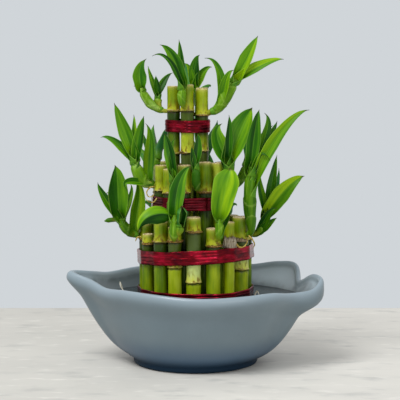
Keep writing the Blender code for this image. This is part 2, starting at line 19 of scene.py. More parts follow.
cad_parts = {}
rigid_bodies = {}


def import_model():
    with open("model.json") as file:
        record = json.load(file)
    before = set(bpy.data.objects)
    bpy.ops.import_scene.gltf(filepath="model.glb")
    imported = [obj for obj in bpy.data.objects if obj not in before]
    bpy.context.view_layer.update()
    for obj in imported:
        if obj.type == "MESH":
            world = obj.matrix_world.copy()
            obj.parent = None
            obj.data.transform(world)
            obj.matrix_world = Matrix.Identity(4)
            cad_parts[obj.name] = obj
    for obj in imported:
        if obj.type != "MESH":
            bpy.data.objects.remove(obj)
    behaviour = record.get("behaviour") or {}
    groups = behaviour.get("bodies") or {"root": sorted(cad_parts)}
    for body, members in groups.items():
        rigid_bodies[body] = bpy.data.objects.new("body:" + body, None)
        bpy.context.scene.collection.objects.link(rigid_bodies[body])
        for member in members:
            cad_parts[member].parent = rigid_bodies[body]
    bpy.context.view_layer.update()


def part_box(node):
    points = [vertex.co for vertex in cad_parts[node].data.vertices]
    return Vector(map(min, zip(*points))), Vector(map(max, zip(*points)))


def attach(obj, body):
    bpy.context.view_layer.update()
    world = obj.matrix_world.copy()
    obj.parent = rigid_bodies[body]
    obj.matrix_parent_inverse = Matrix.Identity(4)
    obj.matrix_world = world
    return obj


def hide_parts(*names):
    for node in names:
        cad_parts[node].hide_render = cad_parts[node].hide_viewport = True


for leftover in list(bpy.data.objects):
    bpy.data.objects.remove(leftover)

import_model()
MM = 0.001

# %% [markdown]
# ## Camera
# The camera comes first, because every choice of detail depends on how large a piece looks. It stands
# a metre away with a long lens, as high as the top shoots and tilted down a little. A long lens keeps
# upright canes parallel, which suits a still life.

# %% Camera
CAMERA_PLACE = (3.168 * MM, -1.0, 0.215)
CAMERA_DIP = 5.635              # degrees below level
CAMERA_LENS = 127.03

camera = bpy.data.objects.new("camera", bpy.data.cameras.new("camera"))
camera.data.lens = CAMERA_LENS
camera.data.sensor_width = 36.0
camera.location = CAMERA_PLACE
camera.rotation_euler = (math.radians(90 - CAMERA_DIP), 0, 0)
bpy.context.scene.collection.objects.link(camera)
bpy.context.scene.camera = camera
print("camera stands", camera.location.z, "m high")

# %% [markdown]
# ## Helpers for node trees
# Materials and Geometry Nodes are both trees of nodes, so the same helpers build either. `place` adds a
# node, sets its options and feeds its inputs. An input takes a number, a node or a socket. A colour is
# three numbers from 0 to 255, and `coats` lays colours over each other like coats of paint, so each
# material below reads like a recipe.

# %% Helpers for node trees
def feed(tree, value, socket):
    """Join a node or a socket to a socket, or set the socket to a plain value."""
    if isinstance(value, bpy.types.Node):
        value = next(s for s in value.outputs if not s.is_unavailable)
    if isinstance(value, bpy.types.NodeSocket):
        tree.links.new(value, socket)
    else:
        socket.default_value = value


def place(tree, kind, *values, **named):
    """Add a node and feed its inputs, in order or by name. Names in small letters are its options."""
    node = tree.nodes.new(kind)
    for name, value in named.items():
        if name.islower():
            setattr(node, name, value)
    live = [socket for socket in node.inputs if not socket.is_unavailable]
    for socket, value in zip(live, values):
        feed(tree, value, socket)
    for socket in live:
        if socket.name.replace(" ", "_") in named:
            feed(tree, named[socket.name.replace(" ", "_")], socket)
    return node


def calc(tree, operation, *values):
    return place(tree, "ShaderNodeMath", *values, operation=operation)


def plus(tree, *values):
    return calc(tree, "ADD", *values)


def times(tree, *values):
    return calc(tree, "MULTIPLY", *values)


def swing(tree, cloud, reach):
    """Noise from 0 to 1, as a push to both sides: from minus half the reach to plus half of it."""
    return times(tree, calc(tree, "SUBTRACT", cloud, 0.5), reach)


def calc_vector(tree, operation, *values):
    return place(tree, "ShaderNodeVectorMath", *values, operation=operation)


def part_of(tree, vector, axis):
    return place(tree, "ShaderNodeSeparateXYZ", Vector=vector).outputs[axis]


def colour(tint):
    """A colour picked on screen, 0 to 255 a channel, as the linear light that shaders work in.

    A node, a socket or a list is passed on as it is."""
    if not isinstance(tint, tuple):
        return tint
    channels = [c / 255 for c in tint]
    return tuple(c / 12.92 if c <= 0.04045 else ((c + 0.055) / 1.055) ** 2.4 for c in channels) + (1.0,)


def coats(tree, body, *layers):
    """Lay (share, colour) layers over a body colour, the first one lowest."""
    for share, tint in layers:
        body = place(tree, "ShaderNodeMix", data_type="RGBA", Factor=share, A=colour(body),
                     B=colour(tint))
    return body


def fade(tree, value, start, end, high=1.0, low=0.0):
    """Go smoothly from low to high as the value goes from start to end."""
    return place(tree, "ShaderNodeMapRange", interpolation_type="SMOOTHSTEP", Value=value,
                 From_Min=start, From_Max=end, To_Min=low, To_Max=high)


def ramp(tree, value, *stops):
    """A colour ramp through (place, colour) stops."""
    node = place(tree, "ShaderNodeValToRGB", Fac=value)
    elements = node.color_ramp.elements
    while len(elements) < len(stops):
        elements.new(0.5)
    for element, (position, tint) in zip(elements, stops):
        element.position = position
        element.color = colour(tint)
    return node


def clouds(tree, vector, size, detail=2.0, stretch=(1.0, 1.0, 1.0)):
    """Noise from 0 to 1 whose blotches are about the given size, longer where stretch is below one."""
    placed = place(tree, "ShaderNodeMapping", Vector=vector, Scale=[s / size for s in stretch])
    return place(tree, "ShaderNodeTexNoise", Vector=placed, Scale=1.0, Detail=detail)


def mark(tree, name):
    """Read a number that the mesh carries at each point."""
    return place(tree, "ShaderNodeAttribute", attribute_name=name).outputs["Fac"]


def new_finish(name, roughness, **settings):
    """A material with one shader: returns the material, its tree and its Object coordinates."""
    finish = bpy.data.materials.new(name)
    finish.use_nodes = True
    tree = finish.node_tree
    for socket, value in {"Roughness": roughness, **settings}.items():
        tree.nodes["Principled BSDF"].inputs[socket.replace("_", " ")].default_value = value
    return finish, tree, place(tree, "ShaderNodeTexCoord").outputs["Object"]


def painted(finish, body, relief=None, strength=0.0, depth=0.0, **others):
    """Feed the colour, any relief and any other sockets to a material's shader; returns the material."""
    tree = finish.node_tree
    sockets = {"Base_Color": body, **others}
    if relief:
        sockets["Normal"] = place(tree, "ShaderNodeBump", Height=relief, Strength=strength,
                                  Distance=depth)
    for socket, value in sockets.items():
        feed(tree, value, tree.nodes["Principled BSDF"].inputs[socket.replace("_", " ")])
    return finish


print("node helpers ready")

# %% [markdown]
# ## Helpers for meshes
# A piece is a list of points, a list of faces and a few marks: numbers at each point that a material
# can read, such as how near a point is to the rim. `skin` joins equal rings of points into a tube.
# Every finished piece hides the plain nodes that it stands for and rides on the model's root body.

# %% Helpers for meshes
def polar(radius, azimuth, z=0.0, axis=(0.0, 0.0)):
    """A point at a distance from an upright axis, in a direction given in degrees."""
    turn = math.radians(azimuth)
    return Vector((axis[0] + radius * math.cos(turn), axis[1] + radius * math.sin(turn), z))


def clamp(value, low=0.0, high=1.0):
    return min(max(value, low), high)


def ease(value, start, end):
    """Go smoothly from 0 to 1 as the value goes from start to end."""
    t = clamp((value - start) / (end - start))
    return t * t * (3 - 2 * t)


def wave(seed, x, y=0.0, z=0.0):
    """Smooth noise from -1 to 1: each seed gives its own."""
    return noise.noise(Vector((x + 13.7 * seed, y - 7.1 * seed, z + 3.3 * seed)))


def shares(count):
    """Even steps from 0 to 1."""
    return [i / (count - 1) for i in range(count)]


def skin(rings, closed_loop=False):
    """Faces over equal rings of points: a tube with capped ends, or a closed loop of rings."""
    count = len(rings[0])
    faces = []
    for i in range(len(rings) if closed_loop else len(rings) - 1):
        here, there = i * count, (i + 1) % len(rings) * count
        for k in range(count):
            after = (k + 1) % count
            faces.append((here + k, here + after, there + after, there + k))
    if not closed_loop:
        faces.append(tuple(range(count)))
        faces.append(tuple(range((len(rings) - 1) * count, len(rings) * count)))
    return [p for ring in rings for p in ring], faces


def join_parts(parts):
    """Several (points, faces, marks) as one. A mark is one number for each point, or one for all."""
    points, faces, marks = [], [], {}
    for some_points, some_faces, some_marks in parts:
        first = len(points)
        points += some_points
        faces += [tuple(first + i for i in face) for face in some_faces]
        for label, values in some_marks.items():
            marks.setdefault(label, []).extend(
                values if isinstance(values, list) else [values] * len(some_points))
    return points, faces, marks


def add_marks(mesh, marks):
    for label, values in marks.items():
        mesh.attributes.new(label, "FLOAT", "POINT").data.foreach_set("value", values)


def new_mesh(name, points, faces, marks, finish):
    """A mesh with its faces pointing out, from points in millimetres."""
    mesh = bpy.data.meshes.new(name)
    mesh.from_pydata([Vector(p) * MM for p in points], [], faces)
    add_marks(mesh, marks)
    bm = bmesh.new()
    bm.from_mesh(mesh)
    bmesh.ops.recalc_face_normals(bm, faces=bm.faces)
    bm.to_mesh(mesh)
    bm.free()
    mesh.shade_smooth()
    mesh.materials.append(finish)
    return mesh


def show(name, content):
    """Put a mesh or a lamp in the scene."""
    item = bpy.data.objects.new(name, content)
    bpy.context.scene.collection.objects.link(item)
    return item


def seat(name, mesh, slot, *nodes):
    """Put a finished piece in the scene, in place of the plain nodes that it stands for."""
    piece = show(name, mesh)
    if nodes:
        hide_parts(*nodes)
    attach(piece, "root")
    return piece


print("mesh helpers ready")

# %% [markdown]
# ## Floor and light
# The floor is a plain pale table top, and it stops a little behind the bowl, so a plain wall seems to
# begin there. The wall is the world's own colour. It lights the plant softly from all sides, and large
# lamps on the left and in front give the canes and the glaze their shape. Pale clouds, grey smears and
# white scuffs, all read from where the floor is, keep it from looking like paper.

# %% Floor
FLOOR_BACK = 218.0              # the floor's far edge, behind the bowl's middle
FLOOR_REACH = 2600.0


def floor_finish():
    finish, tree, where = new_finish("pale_floor", 0.6)
    mottle = clouds(tree, where, 60 * MM, 6.0, (0.35, 1, 1))
    smears = fade(tree, clouds(tree, where, 16 * MM, 8.0, (0.5, 1, 1)), 0.52, 0.72, 0.45)
    shaded = fade(tree, part_of(tree, where, "X"), 30 * MM, -130 * MM, 0.35)
    scuffs = fade(tree, clouds(tree, where, 9 * MM, 8.0, (0.45, 1, 1)), 0.54, 0.8, 0.4)
    stone = coats(tree, (186, 185, 180), (mottle, (222, 220, 213)), (smears, (158, 160, 158)),
                  (shaded, (158, 158, 152)), (scuffs, (238, 236, 230)))
    return painted(finish, stone, scuffs, 0.15, 0.3 * MM)


corners = [(-FLOOR_REACH, FLOOR_BACK, 0), (-FLOOR_REACH, -FLOOR_REACH, 0),
           (FLOOR_REACH, -FLOOR_REACH, 0), (FLOOR_REACH, FLOOR_BACK, 0)]
show("floor", new_mesh("floor", corners, [(0, 1, 2, 3)], {}, floor_finish()))
print("floor ends", FLOOR_BACK, "mm behind the bowl's middle")

# %% Light
WALL_COLOUR = (208, 213, 217)
ROOM_LIGHT = 0.72

world = bpy.data.worlds.new("room")
world.use_nodes = True
bpy.context.scene.world = world
room = world.node_tree
seen = place(room, "ShaderNodeLightPath").outputs["Is Camera Ray"]
feed(room, coats(room, [ROOM_LIGHT] * 3 + [1.0], (seen, WALL_COLOUR)),
     room.nodes["Background"].inputs["Color"])
bpy.context.scene.view_settings.view_transform = "Standard"


def lamp(name, place_at, look_at, size, watts):
    """A large soft lamp that faces a point."""
    light = bpy.data.lights.new(name, "AREA")
    light.shape = "RECTANGLE"
    light.size, light.size_y = size
    light.energy = watts
    holder = show(name, light)
    holder.location = place_at
    holder.rotation_euler = (Vector(look_at) - Vector(place_at)).to_track_quat("-Z", "Y").to_euler()


lamp("window", (-0.5, -0.6, 1.2), (0, 0, 0.1), (0.6, 0.6), 14.0)
lamp("front_fill", (0.7, -1.3, 0.5), (0, 0, 0.1), (0.9, 0.6), 4.0)

# %% [markdown]
# ## The bowl
# The real bowl is slip-cast stoneware under a blue-grey glaze. Its foot is round and small, the wall
# sweeps out, and the rim is pulled into two pointed lips and a raised lobe. A surface with one rule for
# its section, turned round the foot, suits it better than sculpting: the reach and height of the rim
# change with the direction, and the wall follows. `RIM` holds only the rim's turning points.

# %% Shape of the bowl
FOOT_RADIUS = 44.0
FOOT_LIP = 0.8
FOOT_HEIGHT = 4.0
FLOOR_Z = 7.0
WALL = 4.6
FLARE = 0.58
FLARE_LATE = 0.1
LATE_FROM = 0.77
NECK_DEPTH = 0.45
NECK_SPAN = 2.5
RIM_BAND = 6.5
RIM_CROWN = 3.6
LOBE_AZIMUTH = 352.0
LOBE_SPREAD = 13.0
LOBE_BAND = 7.5
LOBE_LATE = 0.14
LOBE_SILL = 6.0                 # inside, the lobe starts this much higher up the wall
SILL_FROM, SILL_TO = 20.0, 45.0
LIP_AZIMUTH = 180.0             # the pointed lip, whose rim is thicker
LIP_SPREAD = 16.0
LIP_THICKER = 2.4
RIM = [(0, 86.5, 63.5), (12, 79.5, 56.8), (24, 83.0, 66.5), (36, 79.0, 66.5), (54, 72.5, 62.5),
       (90, 64.5, 61.0), (132, 67.0, 62.0), (156, 72.5, 61.0), (171, 81.0, 64.0), (180, 92.4, 65.8),
       (189, 78.5, 61.3), (200, 70.0, 57.3), (218, 65.0, 58.0), (240, 64.0, 57.8), (272, 66.0, 56.2),
       (300, 69.8, 57.0), (318, 73.0, 57.4), (333, 76.4, 55.2), (343, 88.0, 56.5), (351, 92.0, 62.3)]


def rim_at(azimuth):
    """Reach and height of the rim's crest at an azimuth, on a smooth closed curve through RIM."""
    count = len(RIM)
    turn = azimuth % 360
    i = max(k for k in range(count) if RIM[k][0] <= turn)
    before, a, b, after = (RIM[(i + k) % count] for k in (-1, 0, 1, 2))
    span = (b[0] - a[0]) % 360
    t = (turn - a[0]) / span
    values = []
    for k in (1, 2):
        slope_a = (b[k] - before[k]) / ((b[0] - before[0]) % 360) * span
        slope_b = (after[k] - a[k]) / ((after[0] - a[0]) % 360) * span
        values.append((2 * t ** 3 - 3 * t ** 2 + 1) * a[k] + (t ** 3 - 2 * t ** 2 + t) * slope_a
                      + (3 * t ** 2 - 2 * t ** 3) * b[k] + (t ** 3 - t ** 2) * slope_b)
    return values


def near_to(azimuth, middle, spread):
    """1 at an azimuth in the middle, falling smoothly to 0 on both sides."""
    return math.exp(-(((azimuth - middle + 180) % 360 - 180) / spread) ** 2)


def lobe_at(azimuth):
    return near_to(azimuth, LOBE_AZIMUTH, LOBE_SPREAD)


def wall_at(azimuth):
    return WALL + LIP_THICKER * near_to(azimuth, LIP_AZIMUTH, LIP_SPREAD)


def band_at(azimuth):
    """Depth of the upright band under the rim."""
    return RIM_BAND + LOBE_BAND * lobe_at(azimuth)


def outer_wall(azimuth, z):
    """Radius of the bowl's outside at a height above its foot."""
    reach, top = rim_at(azimuth)
    share = clamp((z - FOOT_HEIGHT) / (top - band_at(azimuth) - FOOT_HEIGHT))
    late = FLARE_LATE + LOBE_LATE * lobe_at(azimuth)
    neck = 1 - NECK_DEPTH * math.exp(-max(z - FOOT_HEIGHT, 0.0) / NECK_SPAN)
    curve = (1 - late) * share ** FLARE * neck + late * ease(share, LATE_FROM, 1.0)
    return FOOT_RADIUS + (reach - FOOT_RADIUS) * curve


def inner_wall(azimuth, z):
    sill = LOBE_SILL * lobe_at(azimuth) * clamp((z - SILL_FROM) / (SILL_TO - SILL_FROM))
    return outer_wall(azimuth, z - sill) - wall_at(azimuth)


print("pointed lip, reach and height in mm:", rim_at(LIP_AZIMUTH))

# %% [markdown]
# The section is drawn as a chain of points from the middle of the foot, up the outside, over the rim
# and down to the middle of the floor. Averaging each point with its neighbours rounds the creases, as
# thick glaze does. The mark `crest` is 1 on the rim's edge, where glaze runs thin and shows lighter and
# where a painted highlight lies along the rim, and `inside` is the depth below the rim on the inner side
# only.

# %% Build the bowl
BOWL_SIDES = 300
WALL_STEPS = 34
WALL_CROWDING = 1.3             # points of the wall crowd towards the foot, where it bends most
GLAZE_PASSES = 3
FLOOR_DISH = 0.5                # the middle of the floor lies this much lower than its edge
EDGE_OUTSIDE, EDGE_INSIDE = 5.0, 1.8    # how far the light edge of the rim reaches down each side
AZIMUTHS = [360 * i / BOWL_SIDES for i in range(BOWL_SIDES)]

# the foot's section, from the recess under it to the wall: distance out from its radius, and height
FOOT_RING = ((-6.0, 1.0), (-4.6, 0.2), (-2.4, 0.0), (-0.4, 0.1), (0.6, 0.6), (FOOT_LIP, 1.4), (0.5, 2.4),
             (0.1, 3.3))


def bowl_section(azimuth):
    reach, top = rim_at(azimuth)
    band = band_at(azimuth)
    section = [(0.4, 1.0)] + [(FOOT_RADIUS + out, z) for out, z in FOOT_RING]
    for share in shares(WALL_STEPS):
        z = FOOT_HEIGHT + (top - band - FOOT_HEIGHT) * share ** WALL_CROWDING
        section.append((outer_wall(azimuth, z), z))
    for share in (0.2, 0.45, 0.7):
        section.append((reach, top - band + (band - RIM_CROWN) * share))
    half = wall_at(azimuth) / 2
    for turn in range(0, 181, 20):
        a = math.radians(turn)
        section.append((reach - half + half * math.cos(a), top - RIM_CROWN + RIM_CROWN * math.sin(a)))
    for share in shares(WALL_STEPS)[1:]:
        z = top - RIM_CROWN - (top - RIM_CROWN - FLOOR_Z) * share
        section.append((inner_wall(azimuth, z), z))
    last = section[-1][0]
    section += [(last * s, FLOOR_Z - FLOOR_DISH * (1 - s)) for s in (0.9, 0.75, 0.5, 0.25, 0.01)]
    for _ in range(GLAZE_PASSES):
        section = [section[0]] + [
            ((a[0] + 2 * b[0] + c[0]) / 4, (a[1] + 2 * b[1] + c[1]) / 4)
            for a, b, c in zip(section, section[1:], section[2:])] + [section[-1]]
    return section


def build_bowl(finish):
    sections = [bowl_section(a) for a in AZIMUTHS]
    rings = [[polar(r, a, z) for a, (r, z) in zip(AZIMUTHS, ring)] for ring in zip(*sections)]
    tops = [max(z for _, z in section) for section in sections]
    summit = max(range(len(rings)), key=lambda k: sections[0][k][1])
    crest = []
    inside = []
    for k, ring in enumerate(rings):
        for p, top in zip(ring, tops):
            crest.append(math.exp(-((top - p.z) / (EDGE_INSIDE if k > summit else EDGE_OUTSIDE)) ** 2))
            inside.append(max(top - p.z, 0.0) if k > summit else 0.0)
    points, faces = skin(rings)
    return new_mesh("bowl_glazed", points, faces, {"crest": crest, "inside": inside}, finish)


print("points in one section of the bowl:", len(bowl_section(LIP_AZIMUTH)))

# %% [markdown]
# The glaze is satin: soft highlights, with a thin clear coat over them that is worn off near the foot.
# Its blue-grey is a little uneven in wide clouds and pools bluer towards the foot, and round the foot it
# is darker still, partly the foot's own navy and partly painted shade. It thins to a lighter line on the
# rim, which is also a painted highlight. The lining is painted paler, and paler still deeper down, as
# painted light on the inner wall, and a blotchy painted shade darkens it above the water, sinking lower
# at the lobe. A few iron specks sit in it. All of that reads Object coordinates and the marks `crest`
# and `inside`.

# %% Glaze
def glaze_finish():
    finish, tree, where = new_finish("blue_grey_glaze", 0.42, Coat_Roughness=0.2,
                                     Specular_IOR_Level=0.35)
    height = part_of(tree, where, "Z")
    depth = mark(tree, "inside")
    wide = clouds(tree, where, 30 * MM, 3.0)
    fine = clouds(tree, where, 1.6 * MM, 2.0)
    blotches = swing(tree, clouds(tree, where, 12 * MM, 4.0), 12 * MM)
    lobe = times(tree, fade(tree, part_of(tree, where, "X"), 20 * MM, 55 * MM),
                 fade(tree, part_of(tree, where, "Y"), 0, 34 * MM, 10 * MM, 3 * MM))
    level = plus(tree, plus(tree, height, blotches), lobe)
    # painted shade: the lower inner wall is darkened in blotches above the water, sinking lower at the
    # lobe
    painted_inner_shade = times(tree, fade(tree, level, 64 * MM, 52 * MM), fade(tree, depth, 2.0, 6.0, 0.85))
    # the lining is painted paler, and paler still more than 6 mm below the rim, as painted light on the
    # inner wall
    lining_with_painted_light = coats(tree, (128, 143, 151), (wide, (150, 164, 172)),
                   (fade(tree, depth, 2.5, 6.0), (180, 196, 206)), (painted_inner_shade, (70, 82, 86)))
    specks = fade(tree, clouds(tree, where, 0.8 * MM, 0.0), 0.8, 0.86, 0.3)
    body = coats(tree, (91, 107, 115), (wide, (107, 123, 131)),
                 # bluer where the glaze pools; the dark layer round the foot is partly the foot's own
                 # navy and partly painted shade
                 (fade(tree, height, 27 * MM, 7 * MM, 0.85), (52, 80, 106)),
                 (fade(tree, height, 12 * MM, 3 * MM, 0.95), (18, 36, 52)),
                 (fade(tree, depth, 0.3, 1.5), lining_with_painted_light),
                 # the light line on the rim's edge is thin glaze and also a painted highlight
                 (times(tree, mark(tree, "crest"), 0.75), (140, 156, 166)), (specks, (74, 84, 92)))
    worn = fade(tree, height, 5 * MM, 14 * MM, 0.35, 0.04)
    relief = place(tree, "ShaderNodeMix", Factor=0.3, A=wide, B=fine, data_type="FLOAT")
    return painted(finish, body, relief, 0.25, 0.5 * MM, Coat_Weight=worn, Specular_IOR_Level=worn)


bowl = seat("bowl_glazed", build_bowl(glaze_finish()), "glaze", "bowl")
print("bowl:", len(bowl.data.polygons), "faces")

# %% [markdown]
# ## The water
# The bowl holds a few centimetres of water round the bundle of canes. It is modelled as a thick ring
# that fills the bowl, so it has a true depth for light to cross. Its top climbs a little where it meets
# the wall, as water does, and a very low ripple breaks up its mirror.

# %% Water
WATER_Z = 48.0
BUNDLE_REACH = 41.0
WATER_HOLE = BUNDLE_REACH + 0.6
GAP = 0.3
WATER_FOOT = FLOOR_Z + GAP
WATER_EDGE = 0.5
MENISCUS = 0.7
MENISCUS_REACH = 1.2            # how far from the wall the climb begins
OPEN_DROP = 0.5                 # the open water lies this much lower than its edge
RIPPLE = 0.12
RIPPLE_SIZE = 9.0


def build_water(finish):
    rings = []
    for share in shares(16):
        z = WATER_FOOT + (WATER_Z - WATER_FOOT) * share
        rings.append([polar(inner_wall(a, z) - WATER_EDGE, a, z) for a in AZIMUTHS])
    wall = rings[-1]
    for share in shares(14)[1:]:
        ring = []
        for a, edge in zip(AZIMUTHS, wall):
            reach = math.hypot(edge.x, edge.y)
            radius = reach + (WATER_HOLE - reach) * share
            lift = MENISCUS * (math.exp(-(reach - radius) / MENISCUS_REACH) - 1)
            spot = polar(radius, a) / RIPPLE_SIZE
            z = WATER_Z + max(lift, -OPEN_DROP) + RIPPLE * wave(3, spot.x, spot.y)
            ring.append(polar(radius, a, z))
        rings.append(ring)
    rings.append([polar(WATER_HOLE, a, WATER_FOOT) for a in AZIMUTHS])
    return new_mesh("water_surface", *skin(rings, closed_loop=True), {}, finish)


def water_finish():
    finish, tree, where = new_finish("still_water", 0.06, IOR=1.33, Transmission_Weight=0.7)
    murk = clouds(tree, where, 22 * MM, 3.0)
    return painted(finish, coats(tree, (62, 74, 80), (murk, (108, 122, 128))))


seat("water_surface", build_water(water_finish()), "water", "water")
print("water stands", WATER_Z, "mm above the table")

# %% [markdown]
# ## The canes
# Every cane is a straight green stem with a raised ring wherever a leaf once grew. Each was cut square
# at the top, and the cut has dried to a tan rim round a sunken pith. The plan below places them as the
# plain model does: the front canes one by one, the back ones by a rule with a fixed seed. The plain
# node's own box then shows whether the plan agrees with it.

# %% Plan of the canes
CANE_FOOT_Z = FLOOR_Z + GAP
NODE_FLARE = 0.5
TOP_AXIS = (-5.4, 0.0)
TOP_REACH = 16.4
MIDDLE_AXIS = (-3.0, 0.0)
MIDDLE_REACH = 28.1
OUTER_FRONT = [(203, 8.4, 94, [87]), (227, 10.1, 104, [90]), (246.4, 9.8, 101, [91, 73]),
               (268, 10.5, 108, [98, 63]), (290.5, 10.5, 100, [88]), (310, 8.0, 104, [90]),
               (336, 11.8, 106, [90, 69])]
OUTER_BACK_FROM, OUTER_BACK_TO, OUTER_BACK_COUNT = 2, 178, 10
MIDDLE = [(258, 9.6, 143, [124]), (295, 9.6, 145, [124]), (323, 9.2, 144, [125]),
          (352, 9.6, 141, [123]), (22, 9.4, 143, [126]), (52, 9.6, 139, [122]),
          (82, 9.2, 144, [125]), (112, 9.6, 141, [124]), (142, 9.4, 143, [126]),
          (172, 9.6, 140, [122]), (200, 9.4, 142, [124]), (228, 9.4, 140, [123])]
TOP = [(205, 9.4, 197.5, [180, 150]), (268, 9.4, 198.5, [180.5, 151]), (332, 9.4, 195.5, [177, 152]),
       (28, 9.2, 196, [178]), (90, 9.4, 193, [176]), (152, 9.2, 197, [179])]
TOP_MIDDLE = (9.0, 194.0, [177])


def cane_plan():
    """Every cane by name: its centre, diameter, height of the cut, and heights of its rings."""
    random.seed(7)
    outer = list(OUTER_FRONT)
    step = (OUTER_BACK_TO - OUTER_BACK_FROM) / (OUTER_BACK_COUNT - 1)
    for i in range(OUTER_BACK_COUNT):
        outer.append((OUTER_BACK_FROM + i * step, random.uniform(9.0, 9.7), random.uniform(98, 108),
                      [random.uniform(86, 90)]))
    tiers = {"bottom": (BUNDLE_REACH, (0, 0), outer), "middle": (MIDDLE_REACH, MIDDLE_AXIS, MIDDLE),
             "top": (TOP_REACH, TOP_AXIS, TOP)}
    plan = {}
    for tier, (reach, axis, canes) in tiers.items():
        for i, (azimuth, diameter, top, nodes) in enumerate(canes):
            centre = polar(reach - NODE_FLARE - diameter / 2, azimuth, axis=axis)
            plan[f"cane_{tier}_{i + 1:02d}"] = (centre, diameter, top, nodes)
    plan["cane_top_07"] = (Vector((*TOP_AXIS, 0)), *TOP_MIDDLE)
    return plan


CANES = cane_plan()
worst = max(abs(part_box(name)[1].z / MM - cane[2]) for name, cane in CANES.items())
print("canes:", len(CANES), "largest difference in height from the plain nodes:", round(worst, 3), "mm")

# %% [markdown]
# A cane is a thick line, so Geometry Nodes can draw it: a chain of points carries the radius at each
# height, and Curve to Mesh sweeps a circle along it. The same tree serves roots later. Noise pushes the
# skin in and out a little, tugs the rings up and down where `loose` says so, and `sink` lowers the pith
# under the rim of the cut. Other numbers on the chain pass through to the mesh for the material.

# %% Geometry Nodes: a skin along a path
RING_GRAIN = 190.0              # how fine the noise is that tugs the rings up and down


def new_tree(name, **inputs):
    """A Geometry Nodes tree with named inputs: returns the tree and the sockets that carry them."""
    tree = bpy.data.node_groups.new(name, "GeometryNodeTree")
    for label, kind in {"Geometry": "Geometry", **inputs}.items():
        tree.interface.new_socket(label.replace("_", " "), in_out="INPUT",
                                  socket_type=f"NodeSocket{kind}")
    tree.interface.new_socket("Geometry", in_out="OUTPUT", socket_type="NodeSocketGeometry")
    return tree, {s.name: s for s in tree.nodes.new("NodeGroupInput").outputs}


def close_tree(tree, geometry, finish):
    """End a tree: smooth, real and with its material."""
    smooth = place(tree, "GeometryNodeSetShadeSmooth", Geometry=geometry)
    real = place(tree, "GeometryNodeRealizeInstances", Geometry=smooth)
    painted_mesh = place(tree, "GeometryNodeSetMaterial", Geometry=real, Material=finish)
    place(tree, "NodeGroupOutput", Geometry=painted_mesh)
    return tree


def carried(tree, name):
    """Read a number that the chain carries at each point."""
    return place(tree, "GeometryNodeInputNamedAttribute", Name=name, data_type="FLOAT").outputs[0]


def noise_at(tree, where, scale, detail):
    return place(tree, "ShaderNodeTexNoise", Vector=where, Scale=scale, Detail=detail)


def upright(tree, height):
    """A push straight up by a height."""
    return place(tree, "ShaderNodeCombineXYZ", Z=height)


def swept_skin_tree():
    """A round skin along a chain, lumpy, with its rings tugged and its pith sunk."""
    tree, given = new_tree("swept_skin", Sides="Int", Lump_height="Float", Lump_size="Float",
                           Ring_sway="Float", Finish="Material")
    path = place(tree, "GeometryNodeMeshToCurve", Mesh=given["Geometry"])
    circle = place(tree, "GeometryNodeCurvePrimitiveCircle", Resolution=given["Sides"], Radius=1.0)
    tube = place(tree, "GeometryNodeCurveToMesh", Curve=path, Profile_Curve=circle,
                 Scale=carried(tree, "girth"), Fill_Caps=True)
    where = place(tree, "GeometryNodeInputPosition")
    lumps = noise_at(tree, where, calc(tree, "DIVIDE", 1.0, given["Lump size"]), 1.0)
    outward = calc_vector(tree, "SCALE", place(tree, "GeometryNodeInputNormal"),
                          swing(tree, lumps, given["Lump height"]))
    tug = swing(tree, noise_at(tree, where, RING_GRAIN, 4.0),
                times(tree, carried(tree, "loose"), given["Ring sway"]))
    lift = upright(tree, calc(tree, "SUBTRACT", tug, carried(tree, "sink")))
    shift = calc_vector(tree, "ADD", outward, lift)
    moved = place(tree, "GeometryNodeSetPosition", Geometry=tube, Offset=shift)
    return close_tree(tree, moved, given["Finish"])


def grow(name, tree, chain, closed=False, **settings):
    """Run a tree over a chain of points and return the finished plain mesh.

    A chain is a list of (point in millimetres, marks). A closed one ends where it began."""
    count = len(chain)
    path = bpy.data.meshes.new(name + "_path")
    path.from_pydata([Vector(p) * MM for p, _ in chain],
                     [(i, (i + 1) % count) for i in range(count if closed else count - 1)], [])
    add_marks(path, {label: [marks[label] for _, marks in chain] for label in chain[0][1]})
    carrier = show(name + "_path", path)
    modifier = carrier.modifiers.new("grow", "NODES")
    modifier.node_group = tree
    for item in tree.interface.items_tree:
        label = item.name.replace(" ", "_")
        if item.in_out == "INPUT" and label in settings:
            modifier[item.identifier] = settings[label]
    evaluated = carrier.evaluated_get(bpy.context.evaluated_depsgraph_get())
    mesh = bpy.data.meshes.new_from_object(evaluated)
    carrier.modifiers.remove(modifier)
    bpy.data.objects.remove(carrier)
    bpy.data.meshes.remove(path)
    mesh.name = name
    return mesh


SWEPT_SKIN = swept_skin_tree()
print("tree inputs:", [i.name for i in SWEPT_SKIN.interface.items_tree if i.in_out == "INPUT"])

# %% [markdown]
# The chain for one cane has close points near each ring and wide steps between. A ring is a narrow
# ridge on a broad swelling, with a groove under it where the old leaf's sheath ended. `above` and
# `below` hold the distance to the rings on each side, because a cane's colour depends on them: it is
# dark just under a ring and yellow-green over it. `tone` sets how pale each length between rings is.

# %% Chains for the canes
RING_STEP = 0.3
RING_ZONE = 2.7
CANE_STEP = 1.6
CANE_INSET = 0.3                # the skin between rings lies this much inside the cane's full radius
CUT_BELOW = 1.2                 # the side of a cane ends this far under its cut
DRY_REACH = 1.8                 # how far the straw colour reaches down from the cut
LOOSE_REACH = 2.0               # how far from a ring the noise may tug the skin
FAR = 30.0                      # a distance that counts as nowhere near a ring

# a ring's swelling, its ridge and the groove under it: how far out, how far above the ring, how tall
RING_SHAPE = ((0.3, 0.0, 3.2), (0.45, 0.0, 0.5), (-0.22, -1.2, 0.55))

# the edge of a cut: below the top, in from the skin, how far the pith sinks, how much it looks cut
CUT_SHAPE = ((1.0, 0.3, 0, 0), (0.6, 0.32, 0, 0.2), (0.3, 0.42, 0, 0.7), (0.1, 0.7, 0, 1),
             (0.04, 1.05, 0.05, 1), (0.03, 1.3, 0.4, 1))

